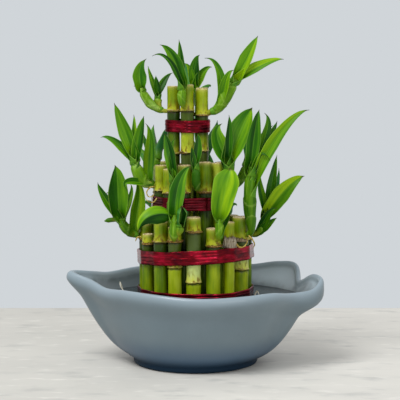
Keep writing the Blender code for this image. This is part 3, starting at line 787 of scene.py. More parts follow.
# pale (1) to deep green (0), from the foot up, one number for each length between rings
TONES = {"cane_bottom_01": (0.44, 0.4), "cane_bottom_02": (0.4, 0.46),
         "cane_bottom_03": (0.62, 0.86, 0.45), "cane_bottom_04": (0.55, 0.98, 0.46),
         "cane_bottom_05": (0.48, 0.5), "cane_bottom_06": (0.64, 0.48),
         "cane_bottom_07": (0.5, 0.95, 0.4),
         # the first length of these three front middle canes is set deep green as painted shade, under
         # the bottom tier's shoots
         "cane_middle_01": (0.1, 0.46), "cane_middle_02": (0.1, 0.36), "cane_middle_12": (0.1, 0.48),
         "cane_top_01": (0.7, 0.2, 0.5), "cane_top_02": (0.8, 0.75, 0.55), "cane_top_03": (0.6, 0.5, 0.6)}


def cane_heights(top, nodes):
    """Heights of the points up the side of a cane, close together near its rings."""
    heights = set()
    z = CANE_FOOT_Z
    while z < top - CUT_BELOW:
        heights.add(round(z, 2))
        near = min(abs(z - node) for node in nodes)
        z += RING_STEP if near < RING_ZONE else CANE_STEP
    return sorted(heights)


def cane_chain(centre, diameter, top, nodes, tones):
    """The points of one cane from its foot to the middle of its cut, with what each carries."""
    full = diameter / 2
    nodes = sorted(nodes)
    chain = []
    for z in cane_heights(top, nodes):
        radius = full - CANE_INSET + sum(out * math.exp(-((z - node - rise) / tall) ** 2)
                                         for node in nodes for out, rise, tall in RING_SHAPE)
        over = [z - node for node in nodes if node <= z]
        under = [node - z for node in nodes if node > z]
        above, below = min([FAR, *over]), min([FAR, *under])
        chain.append(((centre.x, centre.y, z), {
            "girth": radius * MM, "above": above, "below": below, "sink": 0.0, "cut": 0.0,
            "tone": tones[min(len(over), len(tones) - 1)],
            "loose": math.exp(-(min(above, below) / LOOSE_REACH) ** 2),
            "rim": math.exp(-((top - z) / DRY_REACH) ** 2)}))
    last = dict(chain[-1][1])
    pith = ((0.02, full * 0.6, 0.6, 1), (0.0, full - 0.05, 0.5, 1))
    for drop, inset, sink, cut in CUT_SHAPE + pith:
        rim = {"girth": (full - inset) * MM, "sink": sink * MM, "cut": cut, "rim": 1.0, "above": FAR}
        chain.append(((centre.x, centre.y, top - drop), {**last, **rim}))
    return chain


print("points up the first cane:", len(cane_heights(*CANES["cane_bottom_01"][2:])))

# %% [markdown]
# The skin of a cane is smooth and a little waxy, with fine lengthwise fibres. Its colour runs from
# yellow-green to deep green by `tone`, broken by soft patches. Under each ring comes a band of deeper
# green and a thin dark line, and on the ring a torn tan scar. Above a ring the skin is yellower, with
# brown stains. Towards the cut it dries to straw, and the cut itself is tan with darker pores.

# %% Skin of the canes
def cane_finish():
    finish, tree, where = new_finish("cane_skin", 0.34, Specular_IOR_Level=0.22)
    fibres = clouds(tree, where, 0.55 * MM, 3.0, (1, 1, 0.03))
    patches = clouds(tree, where, 7 * MM, 3.0, (1, 1, 0.35))
    grime = clouds(tree, where, 2.4 * MM, 5.0, (1, 1, 0.5))
    pores = clouds(tree, where, 1.0 * MM, 4.0)
    rough_edge = swing(tree, clouds(tree, where, 1.7 * MM, 3.0), 2.2)
    above = plus(tree, mark(tree, "above"), rough_edge)
    below = plus(tree, mark(tree, "below"), rough_edge)
    tone = plus(tree, mark(tree, "tone"), swing(tree, patches, 0.8))
    tone = plus(tree, tone, swing(tree, fibres, 0.32))
    green = ramp(tree, tone, (0.0, (14, 34, 2)), (0.35, (92, 122, 4)), (0.6, (140, 158, 8)),
                 (0.82, (164, 180, 54)), (1.0, (182, 198, 118)))
    deep = times(tree, fade(tree, below, 17.0, 12.0),
                 fade(tree, part_of(tree, where, "Z"), 78 * MM, 80 * MM, 0.9))
    stain = times(tree, fade(tree, above, 12.0, 1.0), fade(tree, grime, 0.5, 0.62, 0.85))
    scar = calc(tree, "MAXIMUM", fade(tree, above, 1.0, 0.3), fade(tree, below, 0.6, 0.2))
    body = coats(tree, green, (deep, (34, 58, 6)), (fade(tree, above, 7.0, 1.0, 0.5), (196, 192, 44)),
                 (fade(tree, below, 2.6, 0.9, 0.9), (42, 40, 14)), (stain, (108, 84, 8)),
                 (scar, ramp(tree, patches, (0.35, (92, 56, 22)), (0.6, (182, 160, 98)))),
                 (times(tree, mark(tree, "rim"), 0.5), (190, 176, 96)),
                 (mark(tree, "cut"), ramp(tree, pores, (0.35, (116, 88, 52)), (0.6, (206, 192, 148)))))
    return painted(finish, body, fibres, 0.3, 0.12 * MM)


CANE_SKIN = cane_finish()
random.seed(21)
cane_faces = 0
for name, cane in CANES.items():
    tones = TONES.get(name, [random.uniform(0.25, 0.65) for _ in range(len(cane[3]) + 1)])
    mesh = grow(name + "_skin", SWEPT_SKIN, cane_chain(*cane, tones), Sides=44, Lump_height=0.5 * MM,
                Lump_size=9 * MM, Ring_sway=2.2 * MM, Finish=CANE_SKIN)
    seat(name + "_skin", mesh, "cane", name)
    cane_faces += len(mesh.polygons)
print("canes:", len(CANES), "faces:", cane_faces)

# %% [markdown]
# ## The ribbon ties
# Each tier is held by a few tight turns of shiny crimson ribbon. A taut ribbon touches only the outer
# canes and runs straight between them, so its path is the outline of all the canes seen from above. For
# each direction, the cane that reaches furthest that way gives the point.

# %% Path of a tie
def taut_path(canes, clear, steps=360):
    """The closed path of a band pulled tight round upright canes, at a distance from their skin."""
    path = []
    for i in range(steps):
        way = polar(1.0, 360 * i / steps)
        _, centre, radius = max((c.dot(way) + d / 2, c, d / 2) for c, d, _, _ in canes)
        path.append(Vector((centre.x, centre.y, 0)) + way * (radius + clear))
    return path


round_top = taut_path([cane for name, cane in CANES.items() if name.startswith("cane_top")], 0.0)
steps = [(b - a).length for a, b in zip(round_top, round_top[1:] + round_top[:1])]
print("once round the top tier:", round(sum(steps)), "mm")

# %% [markdown]
# Geometry Nodes winds the ribbon: it copies the path once for each turn, one pitch apart, lets every
# turn wander a little, and sweeps a flat oval along it. Turning the curve's normals to face outwards
# (Z Up) keeps the ribbon flat against the canes. Slow noise along the way gives the folds that catch
# the light.

# %% Geometry Nodes: wound ribbon
FOLD_GRAIN = (45.0, 45.0, 900.0)   # slow noise along the ribbon, and new noise for each turn
RIBBON_STEPS = 300
RIBBON_SIDES = 14


def wound_ribbon_tree():
    """A few turns of flat ribbon along a closed chain, one above another, each a little uneven."""
    tree, given = new_tree("wound_ribbon", Turns="Int", Pitch="Float", Ribbon_width="Float",
                           Ribbon_thickness="Float", Wander="Float", Bulge="Float", Finish="Material")
    path = place(tree, "GeometryNodeMeshToCurve", Mesh=given["Geometry"])
    even = place(tree, "GeometryNodeResampleCurve", Curve=path, Count=RIBBON_STEPS)
    step = upright(tree, given["Pitch"])
    stack = place(tree, "GeometryNodeMeshLine", Count=given["Turns"], Offset=step)
    turns = place(tree, "GeometryNodeInstanceOnPoints", Points=stack, Instance=even)
    wound = place(tree, "GeometryNodeRealizeInstances", Geometry=turns)
    where = place(tree, "GeometryNodeInputPosition")
    apart = calc_vector(tree, "MULTIPLY", where, FOLD_GRAIN)
    rise = swing(tree, noise_at(tree, apart, 1.0, 2.0), given["Wander"])
    bulge = times(tree, noise_at(tree, apart, 2.3, 1.0), given["Bulge"])
    away = calc_vector(tree, "NORMALIZE", calc_vector(tree, "MULTIPLY", where, (1.0, 1.0, 0.0)))
    shift = calc_vector(tree, "ADD", calc_vector(tree, "SCALE", away, bulge), upright(tree, rise))
    moved = place(tree, "GeometryNodeSetPosition", Geometry=wound, Offset=shift)
    level = place(tree, "GeometryNodeSetCurveNormal", Curve=moved, mode="Z_UP")
    circle = place(tree, "GeometryNodeCurvePrimitiveCircle", Resolution=RIBBON_SIDES, Radius=0.5)
    section = place(tree, "ShaderNodeCombineXYZ", X=given["Ribbon thickness"], Y=given["Ribbon width"],
                    Z=1.0)
    oval = place(tree, "GeometryNodeTransform", Geometry=circle, Scale=section)
    band = place(tree, "GeometryNodeCurveToMesh", Curve=level, Profile_Curve=oval)
    return close_tree(tree, band, given["Finish"])


WOUND_RIBBON = wound_ribbon_tree()
print("tree inputs:", [i.name for i in WOUND_RIBBON.interface.items_tree if i.in_out == "INPUT"])

# %% [markdown]
# The ribbon is thin coloured foil: deep crimson with pink highlights. A metallic base with a trace of
# clear coat gives part of this. Slow noise paints the rest of its light and shade, from near black to
# bright crimson, as painted shade and light on folds. Streaks that run round the tie, as the threads in
# the real ribbon do, give a fine relief and thin dark lines, and paint pink highlights in short dashes.
# The middle tie sits in the shade of the leaves, and that shade is painted on as a darker crimson.

# %% Ribbon
def ribbon_finish():
    finish, tree, where = new_finish("crimson_ribbon", 0.24, Metallic=0.9, Coat_Weight=0.06,
                                     Coat_Roughness=0.05)
    height = part_of(tree, where, "Z")
    streaks_and_glints = clouds(tree, where, 0.7 * MM, 3.0, (0.08, 0.08, 1))
    painted_fold_shade = clouds(tree, where, 9 * MM, 2.0, (1, 1, 2.5))
    # painted light and shade: near black to bright crimson by slow noise, standing in for folds
    foil = ramp(tree, painted_fold_shade, (0.32, (62, 0, 14)), (0.5, (108, 0, 16)), (0.7, (164, 8, 42)))
    # painted shade: the middle tie is painted darker where the leaves shade it
    painted_leaf_shade = times(tree, fade(tree, height, 98 * MM, 102 * MM), fade(tree, height, 128 * MM, 124 * MM))
    body = coats(tree, foil, (fade(tree, streaks_and_glints, 0.54, 0.7, 0.4), (60, 0, 14)),
                 # painted highlights: pink dashes along the streaks
                 (fade(tree, streaks_and_glints, 0.4, 0.3, 0.36), (232, 60, 100)),
                 (times(tree, painted_leaf_shade, 0.7), (64, 0, 10)))
    return painted(finish, body, streaks_and_glints, 0.4, 0.25 * MM)


# tie: tier of canes, height of its middle, turns, pitch, ribbon width, tilts about X and Y in degrees
TIES = {"tie_base": ("bottom", 52.0, 3, 1.9, 2.6, 0.0, 0.0),
        "tie_bottom": ("bottom", 78.4, 4, 2.3, 3.1, -2.6, -2.9),
        "tie_middle": ("middle", 115.2, 5, 1.75, 2.1, -1.0, 0.0),
        "tie_top": ("top", 169.3, 4, 2.05, 2.5, 0.0, 0.6)}
RIBBON_THICK = 0.75
RIBBON_WANDER = 1.6
RIBBON_BULGE = 0.5
TIE_CLEAR = 0.65                # from the canes to the middle of the ribbon's thickness

RIBBON = ribbon_finish()
for name, (tier, middle, turns, pitch, width, tilt_x, tilt_y) in TIES.items():
    canes = [cane for label, cane in CANES.items() if label.startswith("cane_" + tier)]
    axis = {"bottom": (0.0, 0.0), "middle": MIDDLE_AXIS, "top": TOP_AXIS}[tier]
    start = -pitch * (turns - 1) / 2
    chain = [((p.x - axis[0], p.y - axis[1], start), {}) for p in taut_path(canes, TIE_CLEAR)]
    mesh = grow(name + "_ribbon", WOUND_RIBBON, chain, closed=True, Turns=turns, Pitch=pitch * MM,
                Ribbon_width=width * MM, Ribbon_thickness=RIBBON_THICK * MM,
                Wander=RIBBON_WANDER * MM, Bulge=RIBBON_BULGE * MM, Finish=RIBBON)
    lean = Matrix.Rotation(math.radians(tilt_y), 4, "Y") @ Matrix.Rotation(math.radians(tilt_x), 4, "X")
    mesh.transform(Matrix.Translation(Vector((*axis, middle)) * MM) @ lean)
    seat(name + "_ribbon", mesh, "ribbon", name)
    print(name, "turns:", turns, "faces:", len(mesh.polygons))

# %% [markdown]
# ## The leafy shoots
# A shoot breaks out beside a ring. Its stem is wrapped in the bases of its own leaves, one sheath in
# another, each ending in a slanting collar. The blades are long ovals with a drawn-out tip, folded
# along the middle, and rolled round the stem at their foot. Each row below gives where a shoot starts,
# the points that its stems pass through, and each blade as a curve: a point halfway and the tip.

# %% Where the shoots grow
# name: (cane and height of the root, how pale the stem is, stems, leaves)
# stem: (points, radius at both ends)
# leaf: (stem, share of the stem's length, halfway point, tip, width, azimuth that the face looks towards,
# and what sets the leaf apart, if anything does)
SHOOTS = {
    "shoot_top_left": (("cane_top_01", 179.5), 0.7, [
        ([(-26, -6, 181), (-31.5, -6.5, 185), (-36, -7, 191), (-38, -7, 197)], 3.0, 2.3),
        ([(-23.5, -4.5, 180.5), (-26.5, -2.5, 186), (-26.2, -1.5, 192)], 2.4, 2.2)], [
        (0, 1.0, (-39.4, -7, 204), (-34.3, -6, 216.4), 9.6, 270, {"tone": 0.46}),
        (1, 0.8, (-30.3, -1, 201), (-33.5, 0, 211.3), 3.6, 250),
        (1, 0.95, (-27.3, -4, 198), (-27.8, -4.5, 204.5), 4.6, 280),
        (1, 0.9, (-22.5, 3.5, 199.5), (-16.3, 5, 206.5), 4.8, 280),
        (0, 0.5, (-36, 4, 191), (-44, 10, 197), 5.0, 200)]),
    "shoot_top_front": (("cane_top_02", 181), 0.55, [
        ([(-9, -19.3, 185), (-9.3, -19.3, 193), (-9.4, -19, 201)], 2.2, 2.6)], [
        (0, 0.9, (-14.2, -21, 213.5), (-24.5, -22, 226), 8.4, 280, {"tone": 0.4}),
        (0, 0.8, (-16.8, -24, 211.5), (-29.7, -25, 218.2), 3.8, 280),
        (0, 0.85, (-10.4, -16, 216), (-11.4, -15, 229.6), 4.6, 270)]),
    "shoot_top_back": (("cane_top_05", 178.5), 0.45, [
        ([(-3, 19.5, 186), (-1.2, 18.5, 199)], 3.0, 2.5)], [
        (0, 0.9, (-4.4, 18, 207), (-8.4, 17, 213), 4.6, 270),
        (0, 0.95, (0.3, 18, 211.3), (3, 17, 219.2), 7.2, 270),
        (0, 0.85, (5.4, 18, 205), (11.9, 17, 210.4), 6.2, 280),
        (0, 0.7, (-6, 31, 203), (-10, 44, 214), 7.4, 90),
        (0, 0.38, (5, 30, 192), (11, 43, 196), 6.4, 80)]),
    "shoot_top_right": (("cane_top_03", 178.5), 0.74, [
        ([(14, -7.4, 180.5), (20, -8, 188), (25, -8.4, 197), (30, -8.6, 204)], 4.2, 3.0)], [
        (0, 0.97, (36.5, -9.5, 217.7), (43.5, -9, 232.3), 9.4, 262, {"tone": 0.62}),
        (0, 0.93, (43.6, -10, 210.4), (61.6, -8, 216), 6.8, 280, {"tone": 0.66}),
        (0, 0.45, (14.8, -5, 205), (6.5, -5, 216.8), 5.8, 270),
        (0, 0.6, (22.4, -12.5, 200.5), (26.8, -13, 208.5), 6.4, 250),
        (0, 0.5, (26, 3, 197), (32, 12, 208), 6.0, 60)]),
    "shoot_middle_left": (("cane_middle_11", 127.5), 0.6, [
        ([(-36, -11.5, 130), (-41, -12, 139), (-43.3, -12, 149)], 4.4, 2.8)], [
        (0, 0.95, (-49.4, -13, 166), (-56.7, -14, 185.7), 9.2, 270),
        (0, 0.85, (-55, -12, 156), (-66.5, -10, 161.4), 5.4, 280),
        (0, 0.95, (-43.2, -9, 165), (-43.4, -7, 177.2), 4.0, 270),
        (0, 0.9, (-39, -14, 163.5), (-36, -15, 176.7), 7.2, 262),
        (0, 0.2, (-33.6, -6, 153), (-35.2, -4, 171), 7.6, 285, {"tone": 0.55}),
        (0, 0.4, (-44, -18, 131), (-47, -21, 124.5), 5.0, 300)]),
    # the low tones given to leaves low in the middle of the bundle are painted shade
    "shoot_middle_slim": (("cane_middle_12", 107.6), 0.2, [
        ([(-18.4, -28.6, 109.2), (-16.4, -29.6, 118), (-15.2, -29.4, 130), (-17.2, -28.6, 149)],
         2.6, 2.2)], [
        (0, 0.93, (-19.3, -28.5, 157), (-21.5, -28, 165), 7.0, 262, {"tone": 0.2}),
        (0, 0.85, (-15, -27, 154), (-13.5, -25.6, 161.5), 4.0, 285, {"tone": 0.34})]),
    "shoot_middle_front": (("cane_middle_02", 125.5), 0.2, [
        ([(1, -27.6, 128), (0.4, -28.6, 137), (0.8, -28, 150)], 2.7, 2.3)], [
        (0, 0.9, (1.6, -27, 157), (1.2, -26, 165), 5.4, 262, {"tone": 0.14}),
        (0, 0.7, (-1.6, -29, 149), (-2.4, -29.5, 156.5), 4.0, 280, {"tone": 0.1})]),
    "shoot_middle_right": (("cane_middle_03", 125.5), 0.45, [
        ([(22.6, -19, 129), (23.2, -19, 138), (23, -18.6, 147)], 3.0, 2.5)], [
        (0, 0.95, (23.6, -20, 162), (23.2, -20, 177.6), 5.2, 255, {"tone": 0.1}),
        (0, 0.85, (17.2, -15.5, 158), (18.6, -12, 171.2), 11.6, 280),
        (0, 0.9, (31, -16, 164.5), (39.6, -15, 182.5), 16.0, 266,
         {"tone": 0.44, "split": 0.14, "broadest": 0.6})]),
    "shoot_middle_far_right": (("cane_middle_04", 125), 0.45, [
        ([(29, -4, 127.6), (35, -3, 138), (37.5, -1, 148)], 2.8, 2.3)], [
        (0, 0.9, (46, 5, 158), (55, 8, 169), 6.0, 270),
        (0, 0.95, (38, 6, 162), (40, 12, 176), 7.0, 80),
        (0, 0.68, (41, 15, 148), (46, 27, 156), 7.0, 70)]),
    "shoot_bottom_left": (("cane_bottom_17", 90), 0.45, [
        ([(-46, -3, 93), (-51, -5, 99), (-54.4, -6, 106)], 3.2, 2.6),
        ([(-51, -4, 101), (-58, -3, 102.5), (-64.7, -2, 101.5)], 1.3, 1.1)], [
        (0, 0.92, (-54.8, -9, 124), (-56.8, -10, 142), 14.4, 270, {"tone": 0.36, "turn": 0.3}),
        (0, 0.85, (-63.2, -5, 117.5), (-69.3, -4, 129.2), 6.0, 275),
        (0, 0.85, (-47.8, 0, 116.5), (-46.6, 2, 128), 4.4, 270),
        (0, 0.3, (-41.6, 1, 113), (-43.6, 3, 131.4), 10.0, 275, {"tone": 0.66}),
        (0, 0.5, (-58, 12, 112), (-66, 24, 118), 8.0, 150)]),
    "shoot_bottom_bent": (("cane_bottom_03", 91.4), 0.45, [
        ([(-14.6, -41.8, 95), (-14.3, -42, 103), (-13.8, -41, 111)], 3.0, 2.5),
        ([(-14.4, -41, 94), (-11.2, -43.2, 99.5), (-10.2, -43.4, 107)], 2.3, 2.2)], [
        # this leaf bends over, and the darker half that it shows is painted shade
        (0, 1.0, (-26, -47, 111.5), (-39, -45.5, 97.5), 13.0, 285,
         {"tone": 0.36, "fold": -1.8, "wrap": 12.0, "split": 0.3, "turn": 0.2}),
        (0, 0.9, (-12.6, -38, 125), (-2.4, -34.5, 143.5), 10.8, 270, {"tone": 0.34, "split": 0.12}),
        (1, 0.95, (-10, -44.4, 109), (-9.4, -46.8, 117), 6.2, 280,
         {"tone": 0.16, "wrap": 120.0, "broadest": 0.8, "fold": 0.3})]),
    "shoot_bottom_front": (("cane_bottom_05", 91), 0.45, [
        ([(16.2, -41.8, 95), (16.3, -41.8, 103), (16.6, -41.4, 109)], 2.5, 2.4)], [
        (0, 0.93, (19.8, -42, 124.5), (24.0, -38, 142), 18.0, 268,
         {"tone": 0.66, "turn": 0.0, "broadest": 0.7, "split": 0.1}),
        (0, 0.5, (21.4, -39.5, 108), (23.8, -38, 117), 4.8, 250)]),
    "shoot_bottom_tall": (("cane_bottom_07", 92.6), 0.45, [
        ([(39, -21.6, 97), (38, -21.8, 111), (38.2, -20.6, 130), (39, -19, 148)], 3.5, 3.6)], [
        (0, 0.95, (41.4, -21, 165), (44.3, -20, 181.3), 9.4, 268),
        (0, 0.93, (47.4, -14, 165), (48.3, -12, 178.6), 7.2, 270),
        (0, 0.9, (51.6, -10, 160.5), (57.5, -6, 172.8), 6.6, 280),
        (0, 0.88, (60, -21, 163.5), (79, -19, 181), 8.4, 280, {"tone": 0.6}),
        (0, 0.85, (46.6, -24, 143.5), (51.8, -26, 146), 4.2, 280)]),
    "shoot_bottom_right": (("cane_bottom_08", 91), 0.45, [
        ([(45, -1, 93.5), (48.5, -2, 100), (50, -3, 107)], 3.0, 2.4)], [
        (0, 0.9, (60.6, -8, 121.5), (76.8, -7, 134), 12.4, 285, {"tone": 0.7, "split": -0.26}),
        (0, 0.95, (46.9, -4, 124), (46.2, -3, 136.5), 4.6, 270),
        (0, 0.97, (54.6, 1, 129), (58, 3, 148.3), 6.0, 262),
        (0, 0.8, (57, 8, 124), (60, 14, 138), 4.6, 60),
        (0, 0.45, (50.5, -9, 104.6), (57.4, -13, 112), 6.4, 290, {"tone": 0.2}),
        (0, 0.2, (50.6, -6, 99), (57.6, -9, 104.6), 5.6, 290, {"tone": 0.26})]),
    "shoot_bottom_back_right": (("cane_bottom_11", 90), 0.45, [
        ([(18, 43.4, 94), (18, 44, 103), (16, 44, 111)], 3.0, 2.4)], [
        (0, 0.95, (13, 48, 128), (10, 50, 147), 9.0, 90),
        (0, 0.85, (22, 51, 121), (25, 60, 135), 8.0, 70),
        (0, 0.6, (25, 52, 104), (31, 60, 106), 6.6, 60),
        (0, 0.5, (8, 52, 106), (-1, 60, 110), 6.0, 110),
        (0, 0.72, (14, 57, 118), (11, 69, 126), 7.0, 90)]),
    "shoot_bottom_back_left": (("cane_bottom_14", 90), 0.45, [
        ([(-20, 43, 94), (-21, 43.6, 104), (-19, 43.6, 112)], 3.0, 2.4)], [
        (0, 0.95, (-21, 48, 127), (-18, 52, 144), 10.0, 90),
        (0, 0.85, (-28, 50, 120), (-36, 58, 131), 7.4, 110),
        (0, 0.6, (-31, 46, 106), (-41, 50, 108), 6.2, 120),
        (0, 0.5, (-14, 54, 109), (-12, 63, 117), 6.4, 80),
        (0, 0.72, (-25, 56, 117), (-28, 66, 127), 7.4, 95)]),
    "shoot_middle_back_right": (("cane_middle_07", 126.5), 0.45, [
        ([(4.6, 31.6, 131), (5, 32, 141), (4, 31, 150)], 3.0, 2.4)], [
        (0, 0.95, (3, 32, 167), (-1, 33, 184), 8.8, 90),
        (0, 0.85, (11, 37, 159), (16, 44, 171), 7.2, 60),
        (0, 0.6, (4, 42, 148), (1, 53, 153), 7.0, 90),
        (0, 0.75, (-5, 37, 156), (-12, 43, 166), 6.6, 110)]),
    "shoot_middle_back_left": (("cane_middle_09", 127), 0.45, [
        ([(-28, 20.6, 131), (-28.6, 22, 141), (-26, 23, 150)], 3.0, 2.4)], [
        (0, 0.95, (-19, 30, 162), (-12, 33, 176), 8.6, 110),
        (0, 0.85, (-30, 32, 157), (-31, 41, 168), 7.0, 120),
        (0, 0.6, (-37, 29, 145), (-46, 34, 150), 6.4, 130),
        (0, 0.75, (-36, 21, 157), (-42, 22, 168), 6.8, 160)]),
}
print("shoots:", len(SHOOTS), "leaves:", sum(len(leaves) for _, _, _, leaves in SHOOTS.values()))

# %% [markdown]
# ## A stem in its sheaths
# The rings of the stem follow a smooth curve through the given points. The stem is thin where it leaves
# the cane, thickest where the old sheaths overlap, and thin again inside the youngest leaf. The radius
# grows along each sheath and drops back at its collar, and each collar slants the opposite way to the
# last. `collar` marks the thin dry edge.

# %% Stems
STEM_SIDES = 24
STEM_STEP = 0.45
STEM_GIRTH = 1.15
STEM_SKIRT = 0.12               # how much the overlapping old sheaths stand out
STEM_BUD = 0.62                 # how much thinner it is where it leaves the cane
STEM_END = 0.12                 # how far it reaches above the foot of its highest leaf
STEM_TAPER = 0.6                # how much thinner the stem is at its top, inside the youngest leaf
STEM_MARK = 20.0                # the mark `along` grows by one over this length of stem
NO_STEM_WAY = Vector((0.31, 0.17, 0.94))    # no stem runs this way, so a sideways direction starts here
SHEATH_LENGTH = 12.0
SHEATH_FLARE = 0.5
SHEATH_SLANT = 3.0
SHEATH_ROUND = 0.03             # how far the section strays from a circle
COLLAR_WIDTH = 1.6


def along_curve(points, share):
    """A point on the smooth curve through the given points, at a share of its length."""
    pts = [Vector(p) for p in points]
    reach = share * (len(pts) - 1)
    i = min(int(reach), len(pts) - 2)
    t = reach - i
    a, b = pts[i], pts[i + 1]
    before = pts[i - 1] if i > 0 else 2 * a - b
    after = pts[i + 2] if i + 2 < len(pts) else 2 * b - a
    return 0.5 * (2 * a + (b - before) * t + (2 * before - 5 * a + 4 * b - after) * t ** 2
                  + (3 * a - before - 3 * b + after) * t ** 3)


def squared(vector, ahead):
    """The part of a vector that is square to a direction, at length one."""
    return (vector - ahead * vector.dot(ahead)).normalized()


def frames_along(points, count, top):
    """Middle and two sideways directions at even steps along the smooth curve."""
    middles = [along_curve(points, top * i / (count - 1)) for i in range(count)]
    side = None
    for i, middle in enumerate(middles):
        ahead = (middles[min(i + 1, count - 1)] - middles[max(i - 1, 0)]).normalized()
        if side is None:
            side = ahead.cross(NO_STEM_WAY)
        side = squared(side, ahead)
        yield middle, side, side.cross(ahead)


def stem_radius(share, thick, thin, top=1.0):
    """Radius of a stem in its sheaths, without their collars."""
    radius = STEM_GIRTH * (thick + (thin - thick) * share)
    radius *= 1 + STEM_SKIRT * ease(share, 0.2, 0.5) * (1 - ease(share, 0.5, 0.9))
    radius *= 1 - STEM_BUD * (1 - ease(share, 0.0, 0.6))
    return radius * (1 - STEM_TAPER * ease(share, top - 0.2, top))


def collar_at(number, sheath, turn, seed):
    """How far along the stem a collar lies, on the side that the turn gives."""
    return number * sheath + SHEATH_SLANT * math.cos(turn + math.pi * (number - 1) + seed)


def stem_parts(points, thick, thin, top, tone, seed, sheath):
    """Points, faces and marks of one stem, from its root to its end inside the last leaf."""
    length = top * sum((along_curve(points, (i + 1) / 20) - along_curve(points, i / 20)).length
                       for i in range(20))
    count = max(int(length / STEM_STEP), 8)
    rings = []
    marks = {"collar": [], "along": [], "across": [], "tone": tone, "under": 0.0, "stem": 1.0,
             "leaf": seed}
    for i, (middle, side, up) in enumerate(frames_along(points, count, top)):
        travelled = length * i / (count - 1)
        radius = stem_radius(top * i / (count - 1), thick, thin, top)
        ring = []
        for k in range(STEM_SIDES):
            turn = 2 * math.pi * k / STEM_SIDES
            number = 0
            while travelled >= collar_at(number + 1, sheath, turn, seed):
                number += 1
            started = collar_at(number, sheath, turn, seed) if number else -SHEATH_SLANT
            end = collar_at(number + 1, sheath, turn, seed)
            rise = (travelled - started) / (end - started)
            spread = radius * (1 + SHEATH_ROUND * math.cos(3 * turn + seed))
            spread += SHEATH_FLARE * (rise ** 2 - 0.3)
            ring.append(middle + spread * (math.cos(turn) * side + math.sin(turn) * up))
            marks["collar"].append(max(1 - (end - travelled) / COLLAR_WIDTH, 0.0))
            marks["along"].append(travelled / STEM_MARK)
            marks["across"].append(math.cos(turn))
        rings.append(ring)
    return (*skin(rings), marks)


print("a stem 3 mm in radius, halfway up in its sheaths:", round(stem_radius(0.5, 3.0, 3.0), 2), "mm")

# %% [markdown]
# ## A blade
# A blade's middle line leaves along the stem and passes through its halfway point. Across it, the blade
# is an arc: nearly a tube at the foot, where it is the sheath round the stem, opening to a shallow
# trough with a sharper fold along the midrib. Its edge waves a little and its thickness thins to the
# margin. The marks `across` and `along` let the material draw veins that follow the leaf.

# %% Blades
BLADE_ROWS = 44
BLADE_COLUMNS = 16
BLADE_THICK = 0.5
BLADE_FOLD = 0.26
BLADE_FOOT = 0.5
BLADE_LEAST = 0.12              # half breadth at the very tip
BLADE_CROWDING = 1.2            # rows crowd towards the foot, where the blade bends most
BLADE_TURNS_UP = 0.35           # how far every face also looks upwards
MIDRIB_DEPTH = 0.12
MIDRIB_WIDTH = 0.08             # as a share of the half breadth
MARGIN_THINNER = 0.75
GRIP_MOST = 0.44                # the foot of a narrow blade is no thicker than this share of its width
FOOT_WRAP = 165.0               # degrees to each side that the foot rolls round the stem
FOOT_SPAN = 0.2                 # share of the blade's length over which the foot opens
FOOT_NECK = 0.16                # and over which it broadens from the sheath to the blade
FOOT_LEAD = 0.42                # how far the blade keeps to the stem's direction at first
FOOT_TURN_MOST = 0.6            # radians
TIP_LEAD = 0.45                 # how straight the last part of a blade runs
OPEN_WRAP = 22.0
EDGE_WAVE = 0.06
EDGE_TURNS = 9                  # radians that the edge's wave goes through from foot to tip


def blade_outline(share, broadest, roundness):
    """Half breadth of a blade along its length: it swells from the foot to its broadest, then tapers."""
    if share < broadest:
        rise = share / broadest
        return BLADE_FOOT + (1 - BLADE_FOOT) * (rise + math.sin(math.pi / 2 * rise)) / 2
    fall = (share - broadest) / (1 - broadest)
    return (1 - fall ** roundness) * (1 - 0.45 * ease(fall, 0.7, 1.0))


def arc_angle(stretch):
    """Angle to each side of an arc that is so many times longer than it is wide."""
    if stretch >= math.pi / 2:
        return stretch
    return math.sqrt(max(6 * (1 - 1 / stretch), 1e-4)) * (1 + 0.11 * (stretch - 1))


def blade_spine(base, ahead, halfway, tip):
    """A function of the share: points on a curve that leaves along the stem and passes halfway."""
    base, halfway, tip = Vector(base), Vector(halfway), Vector(tip)
    lead = base + ahead * FOOT_LEAD * (halfway - base).length
    pull = (8 * halfway - base - 3 * lead - tip) / 3
    last = tip - halfway
    back = (tip - pull).dot(last) / last.length_squared
    pull -= last * max(TIP_LEAD - back, 0.0)            # so that the tip never hooks back
    return lambda t: ((1 - t) ** 3 * base + 3 * (1 - t) ** 2 * t * lead + 3 * (1 - t) * t ** 2 * pull
                      + t ** 3 * tip)


def foot_turn(spine_at, face):
    """How far the foot is turned from the blade's face, so that its sheath opens away from the blade."""
    ahead = (spine_at(0.02) - spine_at(0.0)).normalized()
    inwards = squared(spine_at(0.0) - spine_at(0.5), ahead)
    outward = squared(face, ahead)
    turn = math.atan2(outward.cross(inwards).dot(ahead), outward.dot(inwards))
    return clamp(turn, -FOOT_TURN_MOST, FOOT_TURN_MOST)


